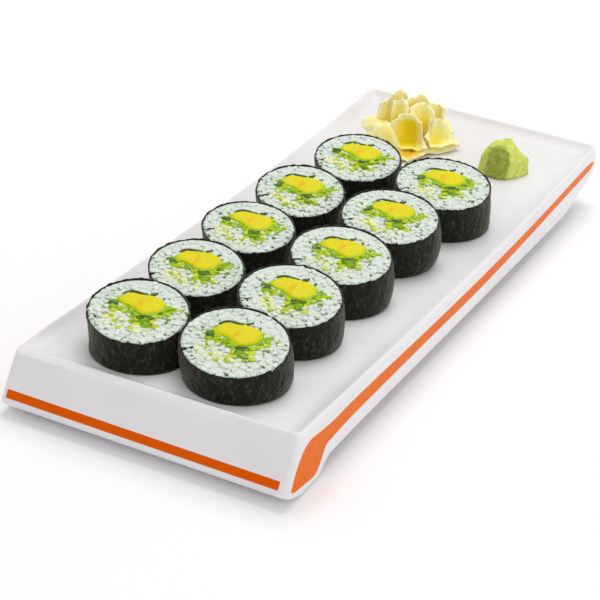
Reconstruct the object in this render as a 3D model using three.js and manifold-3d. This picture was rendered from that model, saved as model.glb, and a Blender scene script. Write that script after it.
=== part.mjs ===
// Ten maki rolls, a heap of pickled ginger and a lump of wasabi on a long white tray.
// Millimetres, +Z up, the tray's tall front face towards -Y, its sole on z = 0.
import * as THREE from 'three';
import { mergeVertices } from 'three/addons/utils/BufferGeometryUtils.js';
import Module from 'manifold-3d';

// ---- driving dimensions -------------------------------------------------------------------
const GAP = 0.3; // air kept between neighbouring pieces

// Tray. A place along it is "v", the distance behind the upper front edge.
const TRAY_WIDTH = 124;
const TRAY_LENGTH = 310;
const FRONT_LEAN = 8; // how far the front face comes forward on its way down
const FRONT_EDGE_Y = -TRAY_LENGTH / 2 + FRONT_LEAN / 2;
const FLOOR_Z = 24.1; // top of the floor that the food lies on
const RIM_LOW_Z = 24.8; // crest of the rim where the sides dip lowest
const RIM_RISE = 3.3; // how much higher the crest is at the front corners
const RIM_LOW_V = 175;
const RIM_FRONT_REACH = 165; // distance ahead of the low point where the rim is up by the rise
const RIM_REAR_REACH = 114; // and the distance behind it
const UNDERSIDE_Z = 5.1;
const TOE_Z = 4.7; // lower edge of the leaning front face
const SOLE_V = [5, 16]; // flat stretch of the front foot
const HEEL_V = 27; // where the foot has come up to the underside
const TAIL_V = 268; // where the underside starts to sweep up behind
const TAIL_RISE = 10;
const CORNER_RADIUS = 3;
const CORNER_STEPS = 3;
// The front foot stands further out than the rim, left and right, and further forward.
const FOOT_FLARE = [3.1, 0.9];
const FOOT_FORWARD = [3.0, 1.2];
const FLARE_END_V = 47;
const FRONT_DIP = [3.3, 0.4]; // how far the front edge lies below the corners, left and right
const FRONT_DIP_END_V = 16;
const BOX_MIDDLE = [-1.1, -1.25]; // of the whole set, before it is moved to the origin
const SIDE_STATIONS = [
  -3, 1, 5, 16, 19, 21.5, 24, 27, 36, 47, 85, 130, 175, 225, TAIL_V, 280, 292,
]; // v
const REAR_FOOT = { width: 96, depth: 16, radius: 6, v: 258 };

// Rolls: the place of the centre, the mean height above the floor, the turn of the filling, the
// radius at the cut and at the foot, the low swell of the wall across the tray, the shift of the
// foot, and the slope of the slanted cut per millimetre.
const ROLLS = [
  {
    name: 'left_1', x: -25.4, y: -123.4, height: 16.3, turn: 0, radius: 20.8, foot: 20.9,
    swell: -1.2, lean: [2.2, -0.5], slant: [-0.071, 0.146],
  },
  {
    name: 'left_2', x: -25.5, y: -78.7, height: 15.9, turn: 4, radius: 20.0, foot: 19.7,
    swell: 0, lean: [1.7, 1.0], slant: [-0.064, 0.140],
  },
  {
    name: 'left_3', x: -25.4, y: -35.3, height: 16.3, turn: -3, radius: 20.1, foot: 19.5,
    swell: 0, lean: [1.9, 0.6], slant: [-0.060, 0.113],
  },
  {
    name: 'left_4', x: -23.2, y: 7.5, height: 17.0, turn: 2, radius: 19.9, foot: 19.5,
    swell: 0, lean: [1.7, 0.3], slant: [-0.065, 0.165],
  },
  {
    name: 'left_5', x: -17.9, y: 53.9, height: 17.0, turn: -4, radius: 20.0, foot: 20.0,
    swell: 0, lean: [1.7, 0.2], slant: [-0.046, 0.147],
  },
  {
    name: 'right_1', x: 17.7, y: -122.8, height: 15.9, turn: 0, radius: 21.2, foot: 21.3,
    swell: 1.4, lean: [1.5, 0.6], slant: [-0.055, 0.175],
  },
  {
    name: 'right_2', x: 19.3, y: -81.0, height: 17.7, turn: -3, radius: 20.8, foot: 19.1,
    swell: 1.5, lean: [3.5, -1.2], slant: [-0.068, 0.150],
  },
  {
    name: 'right_3', x: 20.2, y: -38.1, height: 17.8, turn: 3, radius: 21.0, foot: 20.9,
    swell: 1.6, lean: [2.4, -3.1], slant: [-0.074, 0.126],
  },
  {
    name: 'right_4', x: 22.7, y: 3.3, height: 19.3, turn: -2, radius: 20.7, foot: 20.6,
    swell: 2.6, lean: [0.7, -0.7], slant: [-0.049, 0.142],
  },
  {
    name: 'right_5', x: 28.0, y: 47.0, height: 19.0, turn: 4, radius: 21.4, foot: 21.4,
    swell: 0.6, lean: [0.8, 0.4], slant: [-0.063, 0.122],
  },
];
const ROLL_SIDES = 29; // divisions round a roll, shared by its nori, rice and filling
const ROLL_SQUASH = 0.985; // depth of a roll along the tray over its width
const NORI_THICK = 0.6;
const SWELL_SHARE = 0.45; // of the height, where the swell is widest
const NORI_FLAP = { angle: 223, reach: 4.6, thick: 0.7 }; // inner end of the sheet, degrees
const GRAIN = { rows: 4, height: 1.0, hollow: 0.35, jitter: 0.5 };
// Outline of the whole filling seen from above, the roll's centre at 0, 0, and the line that
// parts the avocado above it from the greens below and beside it.
const FILLING_CENTRE = [0, 0.5];
const FILLING = [
  [10.8, 0.2], [9.6, 3.0], [12.0, 7.4], [9.4, 9.6], [6.8, 10.4], [3.6, 11.4], [0, 11.4],
  [-4.6, 9.8], [-8.6, 8.2], [-10.8, 5.3], [-12.4, 1.2], [-12.6, -2.2], [-9.6, -4.6],
  [-5.0, -4.2], [-1.8, -3.6], [-0.2, -5.5], [0.8, -8.6], [3.4, -9.9], [5.2, -7.6],
  [8.4, -8.6], [11.2, -5.6], [8.8, -3.2],
];
const PARTING = [[-8.4, 0.2], [-4.0, -0.2], [0.6, -1.8], [4.4, -1.2], [8.2, 3.4]];
const AVOCADO_SPAN = [4, 15]; // first and last of the roll's divisions on the avocado's edge

// Heap of ginger slices. A slice is a bent sheet through four rows of four points, each x to
// the right, y away from the rolls and z up in the heap's own turned frame.
const GINGER = { x: -19, y: 116, turn: 23, thick: 1.2 };
const GINGER_CORE = { x: -1, y: -1, width: 40, depth: 26, height: 24 };
const GINGER_SLICES = {
  frontCup: [
    [[-7.5, -12, 4.8], [-4, -14.5, 3.6], [2.5, -14.5, 3.8], [8.8, -12.5, 4.4]],
    [[-9.8, -9, 9], [-4.8, -5, 4], [1.5, -5, 4.5], [5.6, -9.5, 8]],
    [[-9.8, -8.5, 13], [-5, -2.5, 12], [1.2, -2.5, 12], [5.6, -8, 12.6]],
    [[-8.9, -8, 15.6], [-6, -5.5, 17.6], [0.6, -5.5, 17.8], [4.6, -7.2, 16]],
  ],
  rightFold: [
    [[6.5, -9, 9], [9.6, -10.5, 4.9], [15.5, -8.5, 4.6], [22, -3, 3.4]],
    [[7.5, -4, 9], [10.5, -5, 4], [16, -3, 5], [21, 0, 5]],
    [[8, -2, 12], [11.5, -1, 10], [15.5, 0, 10], [18.5, 2, 8.5]],
    [[8.5, -2, 15], [12, 0, 15], [15, 2, 14.5], [17, 3, 11.5]],
  ],
  rightBase: [
    [[2, -15, 1], [9, -11, 0.8], [16, -8, 0.8], [23.5, -2, 1.8]],
    [[3, -11, 2], [9.5, -8, 2.5], [16.5, -5, 2.5], [23.8, -0.5, 3]],
    [[4, -7, 3], [10, -4, 4], [16.5, -2, 4], [22, 2, 4]],
    [[4, -4, 3], [10, -1, 4], [16, 2, 4], [20, 5, 3.5]],
  ],
  frontBase: [
    [[-6, -20, 1], [-1.5, -21.5, 0.8], [3, -18, 1], [7, -14, 1.2]],
    [[-7, -17, 2], [-2, -17.5, 2.2], [3, -15, 2.2], [7.5, -12, 2.2]],
    [[-8, -13, 3.2], [-2, -13.5, 3], [3, -12, 3], [7.5, -10, 3]],
    [[-8, -10, 4], [-2, -10, 3.5], [3, -9, 3.5], [7, -8, 3.5]],
  ],
  spike: [
    [[-12, 6, 8], [-8, 8, 8], [-5, 8, 8], [-2, 6, 8]],
    [[-12.5, 7, 14], [-8.5, 9, 14], [-5, 9, 14], [-2, 7, 14]],
    [[-11.5, 8, 20], [-8.5, 10, 20.5], [-5.5, 10, 21], [-3, 8, 19.5]],
    [[-9, 9, 21.8], [-7.8, 10.5, 24], [-6.2, 10.5, 24.4], [-4.6, 9, 22]],
  ],
  crest: [
    [[-4, 3, 8], [0, 5, 8], [4, 5, 8], [8, 3, 8]],
    [[-4.5, 4, 13], [0, 7, 13], [4, 7, 13], [8.5, 4, 13]],
    [[-4, 5, 18], [-0.5, 8.5, 18.5], [4, 8.5, 19], [8, 5.5, 18]],
    [[-3.6, 6, 20.8], [-0.5, 9, 22.2], [4, 9, 23.2], [7.8, 6, 20.8]],
  ],
  shoulder: [
    [[3.5, 1, 6], [7.5, 3, 6], [11.5, 3, 6], [14.5, 0, 6]],
    [[4.5, 3, 11], [8, 6, 11], [12, 6, 11.5], [15, 3, 10.5]],
    [[5.5, 5, 16], [8.5, 8, 16.5], [12.5, 8, 16.5], [15.5, 5, 15]],
    [[6, 6, 19], [9, 8.5, 19.6], [12.5, 8.5, 19.4], [15, 6, 18]],
  ],
  leftCrest: [
    [[-15, 0, 6], [-12, 3, 6], [-9, 3, 6], [-6, 1, 6]],
    [[-16.5, 2, 11], [-13, 5, 11], [-9.5, 5, 11], [-6, 3, 11]],
    [[-17, 4, 15.5], [-13.5, 7, 16], [-10, 7, 16.5], [-6.5, 4.5, 16]],
    [[-16.5, 5, 18.6], [-13.5, 8, 19.4], [-10.5, 8, 20.6], [-7.5, 5.5, 19.5]],
  ],
  leftFlap: [
    [[-8, -6, 4], [-8, -1, 6], [-8, 4, 7], [-8, 8, 5]],
    [[-13, -7, 4.5], [-13, -1.5, 8.5], [-13, 4.5, 9.5], [-13, 9, 6]],
    [[-18.5, -5, 4], [-18.5, -1, 9], [-18.5, 5, 11], [-18, 9, 7]],
    [[-23, -2, 3], [-24.5, 1, 6], [-23.5, 5.5, 8.5], [-21, 8.5, 5]],
  ],
  leftFold: [
    [[-18, -10, 2], [-14, -14, 1.5], [-10, -15, 1.5], [-6, -14, 2]],
    [[-18.5, -8, 6], [-14.5, -12, 6.5], [-10, -13, 6.5], [-6.5, -11.5, 6]],
    [[-18, -5.5, 9.5], [-14, -8.5, 11], [-10.5, -9.5, 11], [-8, -9, 9.5]],
    [[-16.5, -3, 11.5], [-13.5, -5, 13], [-11, -6, 13], [-9, -6.5, 11.5]],
  ],
  middleLeft: [
    [[-10, -2, 6], [-8, 0, 6], [-5, 0.5, 6], [-2.5, -0.8, 6]],
    [[-10.5, -1, 12], [-8.5, 2, 12], [-5, 2, 12], [-2.6, 0, 12]],
    [[-10.5, 1, 17], [-8.5, 4, 17.5], [-5.2, 4, 17.8], [-2.8, 0, 17]],
    [[-9.5, 3, 20], [-8, 5.5, 21.5], [-5.4, 5.5, 21.8], [-3.2, 2.5, 20.5]],
  ],
  middleRight: [
    [[-1.6, -0.6, 6], [3.4, 0, 6], [7, -1, 6], [10, -4, 7]],
    [[-1.8, 0, 12], [3.2, 1.4, 12], [7, 1, 12], [10.5, -3, 12]],
    [[-1.8, 0.6, 17], [3, 3, 17.5], [7, 3, 17.5], [10.5, -1.5, 16]],
    [[-1, 1.4, 19.8], [3.5, 4.5, 21], [7, 4.5, 20.5], [10.2, 1, 18.6]],
  ],
  backFlap: [
    [[-12, 8, 2], [-5, 10, 2], [3, 10, 2], [10, 8, 2]],
    [[-13, 12, 4], [-5, 15, 5], [3, 15, 5], [11, 12, 4]],
    [[-12, 15, 6], [-5, 18, 6.5], [3, 18, 6], [10, 15, 5]],
    [[-9, 18, 3], [-4, 21, 3], [2, 21, 2.8], [8, 18, 2.5]],
  ],
  backFold: [
    [[6, 4, 3], [10, 7, 3], [15, 7, 3], [19, 3, 3]],
    [[7, 8, 7], [11, 12, 8], [16, 11, 8], [20, 6, 6]],
    [[9, 12, 8], [13, 16, 8], [18, 14, 7], [20.5, 8, 5]],
    [[11, 15, 4], [14, 18, 4], [18, 16, 3.5], [20.5, 10, 3]],
  ],
  backCrest: [
    [[-14, 4, 3], [-9, 9, 3], [-3, 9, 3], [2, 6, 3]],
    [[-14.5, 7, 8], [-9.5, 12, 9], [-3, 12, 9], [3, 8, 8]],
    [[-14, 9, 13], [-9.5, 13, 14.5], [-3, 13, 14.5], [3, 9.5, 13]],
    [[-12, 10, 16], [-8.5, 12.5, 18], [-4, 12.5, 18], [1.5, 10, 16]],
  ],
};
const SLICE_STEPS = { across: 4, along: 3 };
const CORE_SIDES = 8;
// Core of the heap: share of its reach, share of its height, shift towards the back.
const CORE_LEVELS = [[0.62, 0, 1], [0.66, 0.12, 1], [0.5, 0.3, 5.5], [0.24, 0.7, 7]];

// Lump of wasabi: outlines from its foot to its knife-cut top, counter-clockwise.
const WASABI = { x: 31.6, y: 113.7 };
const WASABI_RINGS = [
  [[11.6, 1.1, 0], [8.9, 7.2, 0], [2.0, 10.0, 0], [-5.0, 9.4, 0], [-10.6, 5.2, 0],
    [-12.4, -0.9, 0], [-9.4, -6.4, 0], [-3.6, -9.4, 0], [0.7, -9.2, 0], [8.2, -3.7, 0]],
  [[11.0, 0.9, 7.4], [8.0, 6.2, 7.6], [1.8, 8.8, 7.8], [-5.0, 8.1, 7.6], [-10.4, 4.4, 7.2],
    [-11.6, -1.0, 7.0], [-9.0, -5.9, 7.0], [-3.6, -7.9, 7.2], [2.0, -7.9, 7.4], [7.6, -3.5, 7.2]],
  [[6.6, 0.9, 10.0], [5.2, 4.6, 10.4], [1.2, 6.6, 11.0], [-4.6, 6.2, 11.0], [-8.8, 3.2, 10.4],
    [-9.8, -1.0, 10.4], [-8.0, -5.0, 10.4], [-3.2, -6.6, 10.8], [1.6, -6.8, 10.6],
    [4.8, -3.0, 10.4]],
  [[2.9, 1.0, 15.4], [2.0, 3.0, 16.2], [-0.8, 3.6, 15.6], [-4.6, 2.8, 14.8], [-7.4, 1.2, 13.8],
    [-8.2, -1.2, 13.5], [-7.2, -3.9, 14.0], [-3.2, -4.7, 14.2], [0.9, -5.4, 12.9],
    [2.7, -2.2, 14.8]],
];
const WASABI_TOP = [-2.0, 0, 15.2];
const WASABI_CROWN = 0.4; // size of the uppermost outline over that of the cut's

const COLOURS = {
  glaze: [0xf2f1f0, 0.18], nori: [0x1d211c, 0.55], rice: [0xdde6e0, 0.5],
  avocado: [0xf0d63a, 0.45], greens: [0x84bd1c, 0.5], ginger: [0xf6dc7a, 0.4],
  wasabi: [0xa6bf5f, 0.75],
};

// ---- small tools --------------------------------------------------------------------------
const wasm = await Module();
wasm.setup();

const { degToRad, lerp, smoothstep } = THREE.MathUtils;

function material([colour, roughness]) {
  return new THREE.MeshStandardMaterial({ color: colour, roughness, metalness: 0 });
}

function seededRandom(seed) {
  let state = seed >>> 0;
  return () => {
    state = (state + 0x6d2b79f5) >>> 0;
    let t = Math.imul(state ^ (state >>> 15), 1 | state);
    t = (t + Math.imul(t ^ (t >>> 7), 61 | t)) ^ t;
    return ((t ^ (t >>> 14)) >>> 0) / 4294967296;
  };
}

function geometryOf(points, faces) {
  const geometry = new THREE.BufferGeometry();
  geometry.setAttribute('position', new THREE.Float32BufferAttribute(points.flat(), 3));
  geometry.setIndex(faces.flat());
  return geometry;
}

function bare(geometry) {
  geometry.deleteAttribute('normal');
  geometry.deleteAttribute('uv');
  return mergeVertices(geometry, 1e-5);
}

function solidOf(geometry) {
  const merged = bare(geometry);
  return new wasm.Manifold(new wasm.Mesh({
    numProp: 3,
    vertProperties: new Float32Array(merged.attributes.position.array),
    triVerts: new Uint32Array(merged.index.array),
  }));
}

function geometryFromSolid(solid) {
  const mesh = solid.getMesh();
  const geometry = new THREE.BufferGeometry();
  geometry.setAttribute('position', new THREE.BufferAttribute(mesh.vertProperties, 3));
  geometry.setIndex(new THREE.BufferAttribute(mesh.triVerts, 1));
  return geometry;
}

function largestBody(solid) {
  const bodies = solid.decompose();
  return bodies.reduce((best, body) => (body.volume() > best.volume() ? body : best));
}

function named(name, geometry, colour) {
  const flat = geometry.toNonIndexed();
  flat.computeVertexNormals();
  const mesh = new THREE.Mesh(flat, material(colour));
  mesh.name = name;
  return mesh;
}

// Triangles between two rings; where flip(k) is true, quad k is split the other way.
function bandFaces(count, from, to, flip = () => false) {
  const faces = [];
  for (let k = 0; k < count; k += 1) {
    const next = (k + 1) % count;
    if (flip(k)) {
      faces.push([from + k, from + next, to + k], [from + next, to + next, to + k]);
    } else {
      faces.push([from + k, from + next, to + next], [from + k, to + next, to + k]);
    }
  }
  return faces;
}

function openRings(rings) {
  const count = rings[0].length;
  return rings.slice(1).flatMap((ring, r) => bandFaces(count, r * count, (r + 1) * count));
}

// Solid of rings run counter-clockwise, listed from the lowest up, each end closed by a fan.
function stackedRings(rings) {
  const count = rings[0].length;
  const points = rings.flat();
  const faces = openRings(rings);
  for (const [ring, up] of [[0, false], [rings.length - 1, true]]) {
    const middle = points.length;
    const sum = rings[ring].reduce((s, p) => [s[0] + p[0], s[1] + p[1], s[2] + p[2]], [0, 0, 0]);
    points.push(sum.map((value) => value / count));
    for (let k = 0; k < count; k += 1) {
      const a = ring * count + k;
      const b = ring * count + ((k + 1) % count);
      faces.push(up ? [a, b, middle] : [b, a, middle]);
    }
  }
  return geometryOf(points, faces);
}

// Ring-shaped solid: the rings run round its section, the lower inner one first.
function closedRings(rings, flip = () => false) {
  const count = rings[0].length;
  const faces = rings.flatMap((ring, r) => (
    bandFaces(count, r * count, ((r + 1) % rings.length) * count, (k) => flip(r, k))
  ));
  return geometryOf(rings.flat(), faces);
}

// Sheet with the same grid of points on both faces, closed along its edges.
function sheetSolid(under, over, rows, columns) {
  const width = columns + 1;
  const layer = width * (rows + 1);
  const faces = [];
  for (let i = 0; i < rows; i += 1) {
    for (let j = 0; j < columns; j += 1) {
      const a = i * width + j;
      const [b, c, d] = [a + 1, a + width, a + width + 1];
      faces.push([a, c, b], [b, c, d]);
      faces.push([layer + a, layer + b, layer + c], [layer + b, layer + d, layer + c]);
    }
  }
  const edge = [];
  for (let j = 0; j < columns; j += 1) edge.push(j);
  for (let i = 0; i < rows; i += 1) edge.push(i * width + columns);
  for (let j = columns; j > 0; j -= 1) edge.push(rows * width + j);
  for (let i = rows; i > 0; i -= 1) edge.push(i * width);
  edge.forEach((a, k) => {
    const b = edge[(k + 1) % edge.length];
    faces.push([a, b, layer + b], [a, layer + b, layer + a]);
  });
  return solidOf(geometryOf([...under, ...over], faces));
}

// ---- tray ---------------------------------------------------------------------------------
function rimHeight(v) {
  const reach = v < RIM_LOW_V ? RIM_FRONT_REACH : RIM_REAR_REACH;
  return RIM_LOW_Z + RIM_RISE * ((v - RIM_LOW_V) / reach) ** 2;
}

function undersideHeight(v) {
  const [soleStart, soleEnd] = SOLE_V;
  if (v < soleStart) {
    return TOE_Z * ((soleStart - v) / (soleStart + FRONT_LEAN)) ** 1.5;
  }
  if (v > TAIL_V) {
    return UNDERSIDE_Z + TAIL_RISE * ((v - TAIL_V) / (TRAY_LENGTH - TAIL_V)) ** 1.3;
  }
  return UNDERSIDE_Z * smoothstep(v, soleEnd, HEEL_V);
}

// Ring of the tray: a rounded rectangle, counter-clockwise from the front right corner, the
// mirror image of itself across the middle.
function trayRing(inset, frontV, rearInset, heightAt) {
  const radius = Math.max(CORNER_RADIUS - inset, 2);
  const side = TRAY_WIDTH / 2 - inset;
  const rearV = TRAY_LENGTH - rearInset;
  const corner = (v, start) => {
    const arc = [];
    for (let step = 0; step <= CORNER_STEPS; step += 1) {
      const angle = start + (step / CORNER_STEPS) * (Math.PI / 2);
      arc.push([side - radius + radius * Math.cos(angle), v + radius * Math.sin(angle)]);
    }
    return arc;
  };
  const first = frontV + radius;
  const last = rearV - radius;
  const stations = SIDE_STATIONS.map((v, k) => (
    THREE.MathUtils.clamp(v, first + 0.3 * (k + 1), last - 0.3 * (SIDE_STATIONS.length - k))
  ));
  const right = [
    ...corner(first, -Math.PI / 2), ...stations.map((v) => [side, v]), ...corner(last, 0),
  ];
  const left = right.map(([x, v]) => [-x, v]).reverse();
  return [...right, ...left].map(([x, v]) => settled(x, v, heightAt(v)));
}

// Brings a point of the front foot outward and forward, and into the part's frame.
function settled(x, v, z) {
  const depth = Math.max(0, 1 - (z + 0.5) / rimHeight(v));
  const across = (2 * x) / TRAY_WIDTH;
  const share = (1 + across) / 2;
  const flare = lerp(...FOOT_FLARE, share) * depth ** 0.25 * (1 - smoothstep(v, 2, FLARE_END_V));
  const forward = lerp(...FOOT_FORWARD, share) * depth ** 0.4
    * (1 - smoothstep(v, -FRONT_LEAN, 2 * FRONT_LEAN));
  const rise = Math.max(0, (z - FLOOR_Z) / (rimHeight(v) - FLOOR_Z));
  const dip = lerp(...FRONT_DIP, share) * rise * (1 - smoothstep(v, 2, FRONT_DIP_END_V));
  return [x + across * flare, v - forward + FRONT_EDGE_Y, z - dip];
}

// Triangles straight across a tray ring, from its right half to the mirrored left half.
function crossFaces(count, start, up) {
  const faces = [];
  for (let k = 0; k + 1 < count / 2; k += 1) {
    const [a, b] = [start + k, start + k + 1];
    const [c, d] = [start + count - 2 - k, start + count - 1 - k];
    faces.push(up ? [a, b, c] : [a, c, b], up ? [a, c, d] : [a, d, c]);
  }
  return faces;
}

function trayBody() {
  const under = (lift) => (v) => undersideHeight(v) + lift;
  const wall = (share) => (v) => lerp(undersideHeight(v) + 2.6 * (1 - share), rimHeight(v), share);
  const rim = (drop) => (v) => rimHeight(v) - drop;
  const floorTo = (share) => (v) => lerp(FLOOR_Z, rimHeight(v), share);
  const rings = [
    trayRing(2.2, 1.8 - FRONT_LEAN, 2.2, under(0)),
    trayRing(1, 0.8 - FRONT_LEAN, 1, under(0.3)),
    trayRing(0.25, 0.2 - FRONT_LEAN, 0.3, under(1.1)),
    trayRing(0, 0.1 - FRONT_LEAN, 0, wall(0)),
    trayRing(0, -0.25 - FRONT_LEAN / 2, 0, wall(0.45)),
    trayRing(0, -0.6, 0, wall(0.9)),
    trayRing(0.6, 0.4, 0.4, rim(0.5)),
    trayRing(1.5, 1.7, 1.4, rim(0)),
    trayRing(3.4, 3.2, 3.2, floorTo(0.66)),
    trayRing(6, 4.8, 7.6, floorTo(0.22)),
    trayRing(9, 6.4, 14, () => FLOOR_Z),
  ];
  const count = rings[0].length;
  return solidOf(geometryOf(rings.flat(), [
    ...crossFaces(count, 0, false),
    ...openRings(rings),
    ...crossFaces(count, (rings.length - 1) * count, true),
  ]));
}

function rearFootBar() {
  const { width, depth, radius, v } = REAR_FOOT;
  const shape = new THREE.Shape();
  const halfX = width / 2;
  const halfY = depth / 2;
  shape.absarc(halfX - radius, halfY - radius, radius, 0, Math.PI / 2);
  shape.absarc(radius - halfX, halfY - radius, radius, Math.PI / 2, Math.PI);
  shape.absarc(radius - halfX, radius - halfY, radius, Math.PI, Math.PI * 1.5);
  shape.absarc(halfX - radius, radius - halfY, radius, Math.PI * 1.5, Math.PI * 2);
  const bar = new THREE.ExtrudeGeometry(shape, {
    depth: UNDERSIDE_Z + 3, bevelEnabled: false, curveSegments: 4,
  });
  bar.translate(0, v + FRONT_EDGE_Y, 0);
  return solidOf(bar);
}

function tray() {
  return named('tray', geometryFromSolid(trayBody().add(rearFootBar())), COLOURS.glaze);
}

// ---- rolls --------------------------------------------------------------------------------
function slantedTop(roll) {
  return (x, y) => roll.height + roll.slant[0] * x + roll.slant[1] * y;
}

function direction(k) {
  return (2 * Math.PI * k) / ROLL_SIDES;
}

// Shares of the height where a roll's wall has a ring between its foot and its cut.
function swellShares(roll) {
  return roll.swell === 0 ? [] : [SWELL_SHARE];
}

// Point of a roll's wall at a share of its height, this far inside the nori's outside.
function wallPoint(roll, inset, share, angle) {
  const reach = lerp(roll.foot, roll.radius, share) - inset;
  const swell = roll.swell * Math.sin(Math.PI * Math.min(1, 0.12 + 0.88 * (1 - share)));
  const x = roll.lean[0] * (1 - share) + (reach + swell) * Math.cos(angle);
  const y = roll.lean[1] * (1 - share) + reach * ROLL_SQUASH * Math.sin(angle);
  return [x, y, share * slantedTop(roll)(x, y)];
}

function wallRing(roll, inset, share) {
  return Array.from({ length: ROLL_SIDES }, (_, k) => wallPoint(roll, inset, share, direction(k)));
}

function turned(points, degrees) {
  const turn = degToRad(degrees);
  return points.map(([x, y]) => [
    x * Math.cos(turn) - y * Math.sin(turn),
    x * Math.sin(turn) + y * Math.cos(turn),
  ]);
}

// The filling's outline, with one point in each of the roll's directions.
function fillingEdge(roll) {
  const [cx, cy] = FILLING_CENTRE;
  const control = turned(FILLING, roll.turn).map(([x, y]) => new THREE.Vector3(x, y, 0));
  const curve = new THREE.CatmullRomCurve3(control, true, 'centripetal');
  const polar = curve.getPoints(12 * ROLL_SIDES).map((p) => ({
    angle: Math.atan2(p.y - cy, p.x - cx), reach: Math.hypot(p.x - cx, p.y - cy),
  }));
  return Array.from({ length: ROLL_SIDES }, (_, k) => {
    const off = (p) => Math.abs(Math.sin((p.angle - direction(k)) / 2));
    const { reach } = polar.reduce((best, p) => (off(p) < off(best) ? p : best));
    return [cx + reach * Math.cos(direction(k)), cy + reach * Math.sin(direction(k))];
  });
}

// Counter-clockwise loop of points moved outwards by a distance.
function grown(loop, distance) {
  return loop.map(([x, y], k) => {
    const before = loop[(k + loop.length - 1) % loop.length];
    const after = loop[(k + 1) % loop.length];
    const along = new THREE.Vector2(after[0] - before[0], after[1] - before[1]).normalize();
    return [x + distance * along.y, y - distance * along.x];
  });
}

function fillingLoops(roll) {
  const edge = fillingEdge(roll);
  const parting = turned(PARTING, roll.turn);
  const [first, last] = AVOCADO_SPAN;
  const greens = [...edge.slice(last), ...edge.slice(0, first + 1), ...[...parting].reverse()];
  return { hole: edge, avocado: [...edge.slice(first, last + 1), ...parting], greens };
}

// Upright column of a filling, its upper end on the slanted cut plus a relief.
function fillingColumn(roll, loop, relief) {
  const outline = grown(loop, -GAP / 2).map(([x, y]) => new THREE.Vector2(x, y));
  const geometry = bare(new THREE.ExtrudeGeometry(new THREE.Shape(outline), {
    depth: roll.height, bevelEnabled: false,
  }));
  const place = geometry.attributes.position;
  const top = slantedTop(roll);
  for (let k = 0; k < place.count; k += 1) {
    const [x, y] = [place.getX(k), place.getY(k)];
    const upper = place.getZ(k) > roll.height / 2;
    place.setZ(k, upper ? top(x, y) + relief(x, y) : 0);
  }
  return geometry;
}

// Inner end of the nori sheet, lying in the rice; with a clearance, the slot cut for it.
function noriFlap(roll, clearance) {
  const angle = degToRad(NORI_FLAP.angle + roll.turn);
  const half = NORI_FLAP.thick / 2 + clearance;
  const levels = [0, ...swellShares(roll), 1].map((share) => [share, 0]);
  if (clearance > 0) {
    levels.unshift([0, -3]);
    levels.push([1, 3]);
  }
  return solidOf(stackedRings(levels.map(([share, past]) => {
    const outer = wallPoint(roll, NORI_THICK / 2, share, angle);
    const inner = wallPoint(roll, NORI_THICK + NORI_FLAP.reach + clearance, share, angle);
    const corner = ([x, y, z], side) => [
      x - side * half * Math.sin(angle), y + side * half * Math.cos(angle), z + past,
    ];
    return [corner(inner, -1), corner(outer, -1), corner(outer, 1), corner(inner, 1)];
  })));
}

function nori(roll) {
  const random = seededRandom(roll.seed + 500);
  const ragged = (ring) => ring.map(([x, y, z]) => [x, y, z + 0.35 * (random() - 0.5)]);
  const sheet = solidOf(closedRings([
    wallRing(roll, NORI_THICK, 0),
    wallRing(roll, 0, 0),
    ...swellShares(roll).map((share) => wallRing(roll, 0, share)),
    ragged(wallRing(roll, 0, 1)),
    wallRing(roll, NORI_THICK, 1),
    ...swellShares(roll).map((share) => wallRing(roll, NORI_THICK, share)),
  ])).add(noriFlap(roll, 0));
  return named(`nori_${roll.name}`, geometryFromSolid(sheet), COLOURS.nori);
}

// The cut face of the rice is a band of points from the nori in to the filling. Every other
// point is a grain's crown, and the ones between them are the hollows round it.
function rice(roll) {
  const random = seededRandom(roll.seed);
  const inset = NORI_THICK + GAP;
  const wall = wallRing(roll, inset, 1);
  const hole = grown(fillingLoops(roll).hole, GAP / 2);
  const top = slantedTop(roll);
  const crown = (row, k) => (row + k) % 2 === 0;
  const rows = [];
  for (let row = 0; row <= GRAIN.rows; row += 1) {
    const share = row / GRAIN.rows;
    const loose = row > 0 && row < GRAIN.rows ? GRAIN.jitter : 0;
    rows.push(wall.map(([wallX, wallY], k) => {
      const x = lerp(wallX, hole[k][0], share) + loose * (random() - 0.5);
      const y = lerp(wallY, hole[k][1], share) + loose * (random() - 0.5);
      const bump = crown(row, k)
        ? GRAIN.height * (0.5 + 0.5 * random())
        : -GRAIN.hollow * random();
      return [x, y, top(x, y) + bump];
    }));
  }
  const wallShares = [0, ...swellShares(roll)];
  const below = [
    hole.map(([x, y]) => [x, y, 0]), ...wallShares.map((share) => wallRing(roll, inset, share)),
  ];
  const flip = (ring, k) => ring >= below.length && crown(ring - below.length, k);
  const body = solidOf(closedRings([...below, ...rows], flip))
    .subtract(noriFlap(roll, GAP));
  return named(`rice_${roll.name}`, geometryFromSolid(largestBody(body)), COLOURS.rice);
}

function avocado(roll) {
  const relief = (x, y) => 0.5 + 0.25 * Math.sin(0.7 * x + 0.9 * y + roll.seed);
  const column = fillingColumn(roll, fillingLoops(roll).avocado, relief);
  return named(`avocado_${roll.name}`, column, COLOURS.avocado);
}

function greens(roll) {
  const random = seededRandom(roll.seed + 900);
  const column = fillingColumn(roll, fillingLoops(roll).greens, () => 1.3 * random() - 0.2);
  return named(`greens_${roll.name}`, column, COLOURS.greens);
}

function rollPieces(roll) {
  const group = new THREE.Group();
  group.add(nori(roll), rice(roll), avocado(roll), greens(roll));
  group.position.set(roll.x, roll.y, FLOOR_Z + GAP / 2);
  return group;
}

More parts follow.
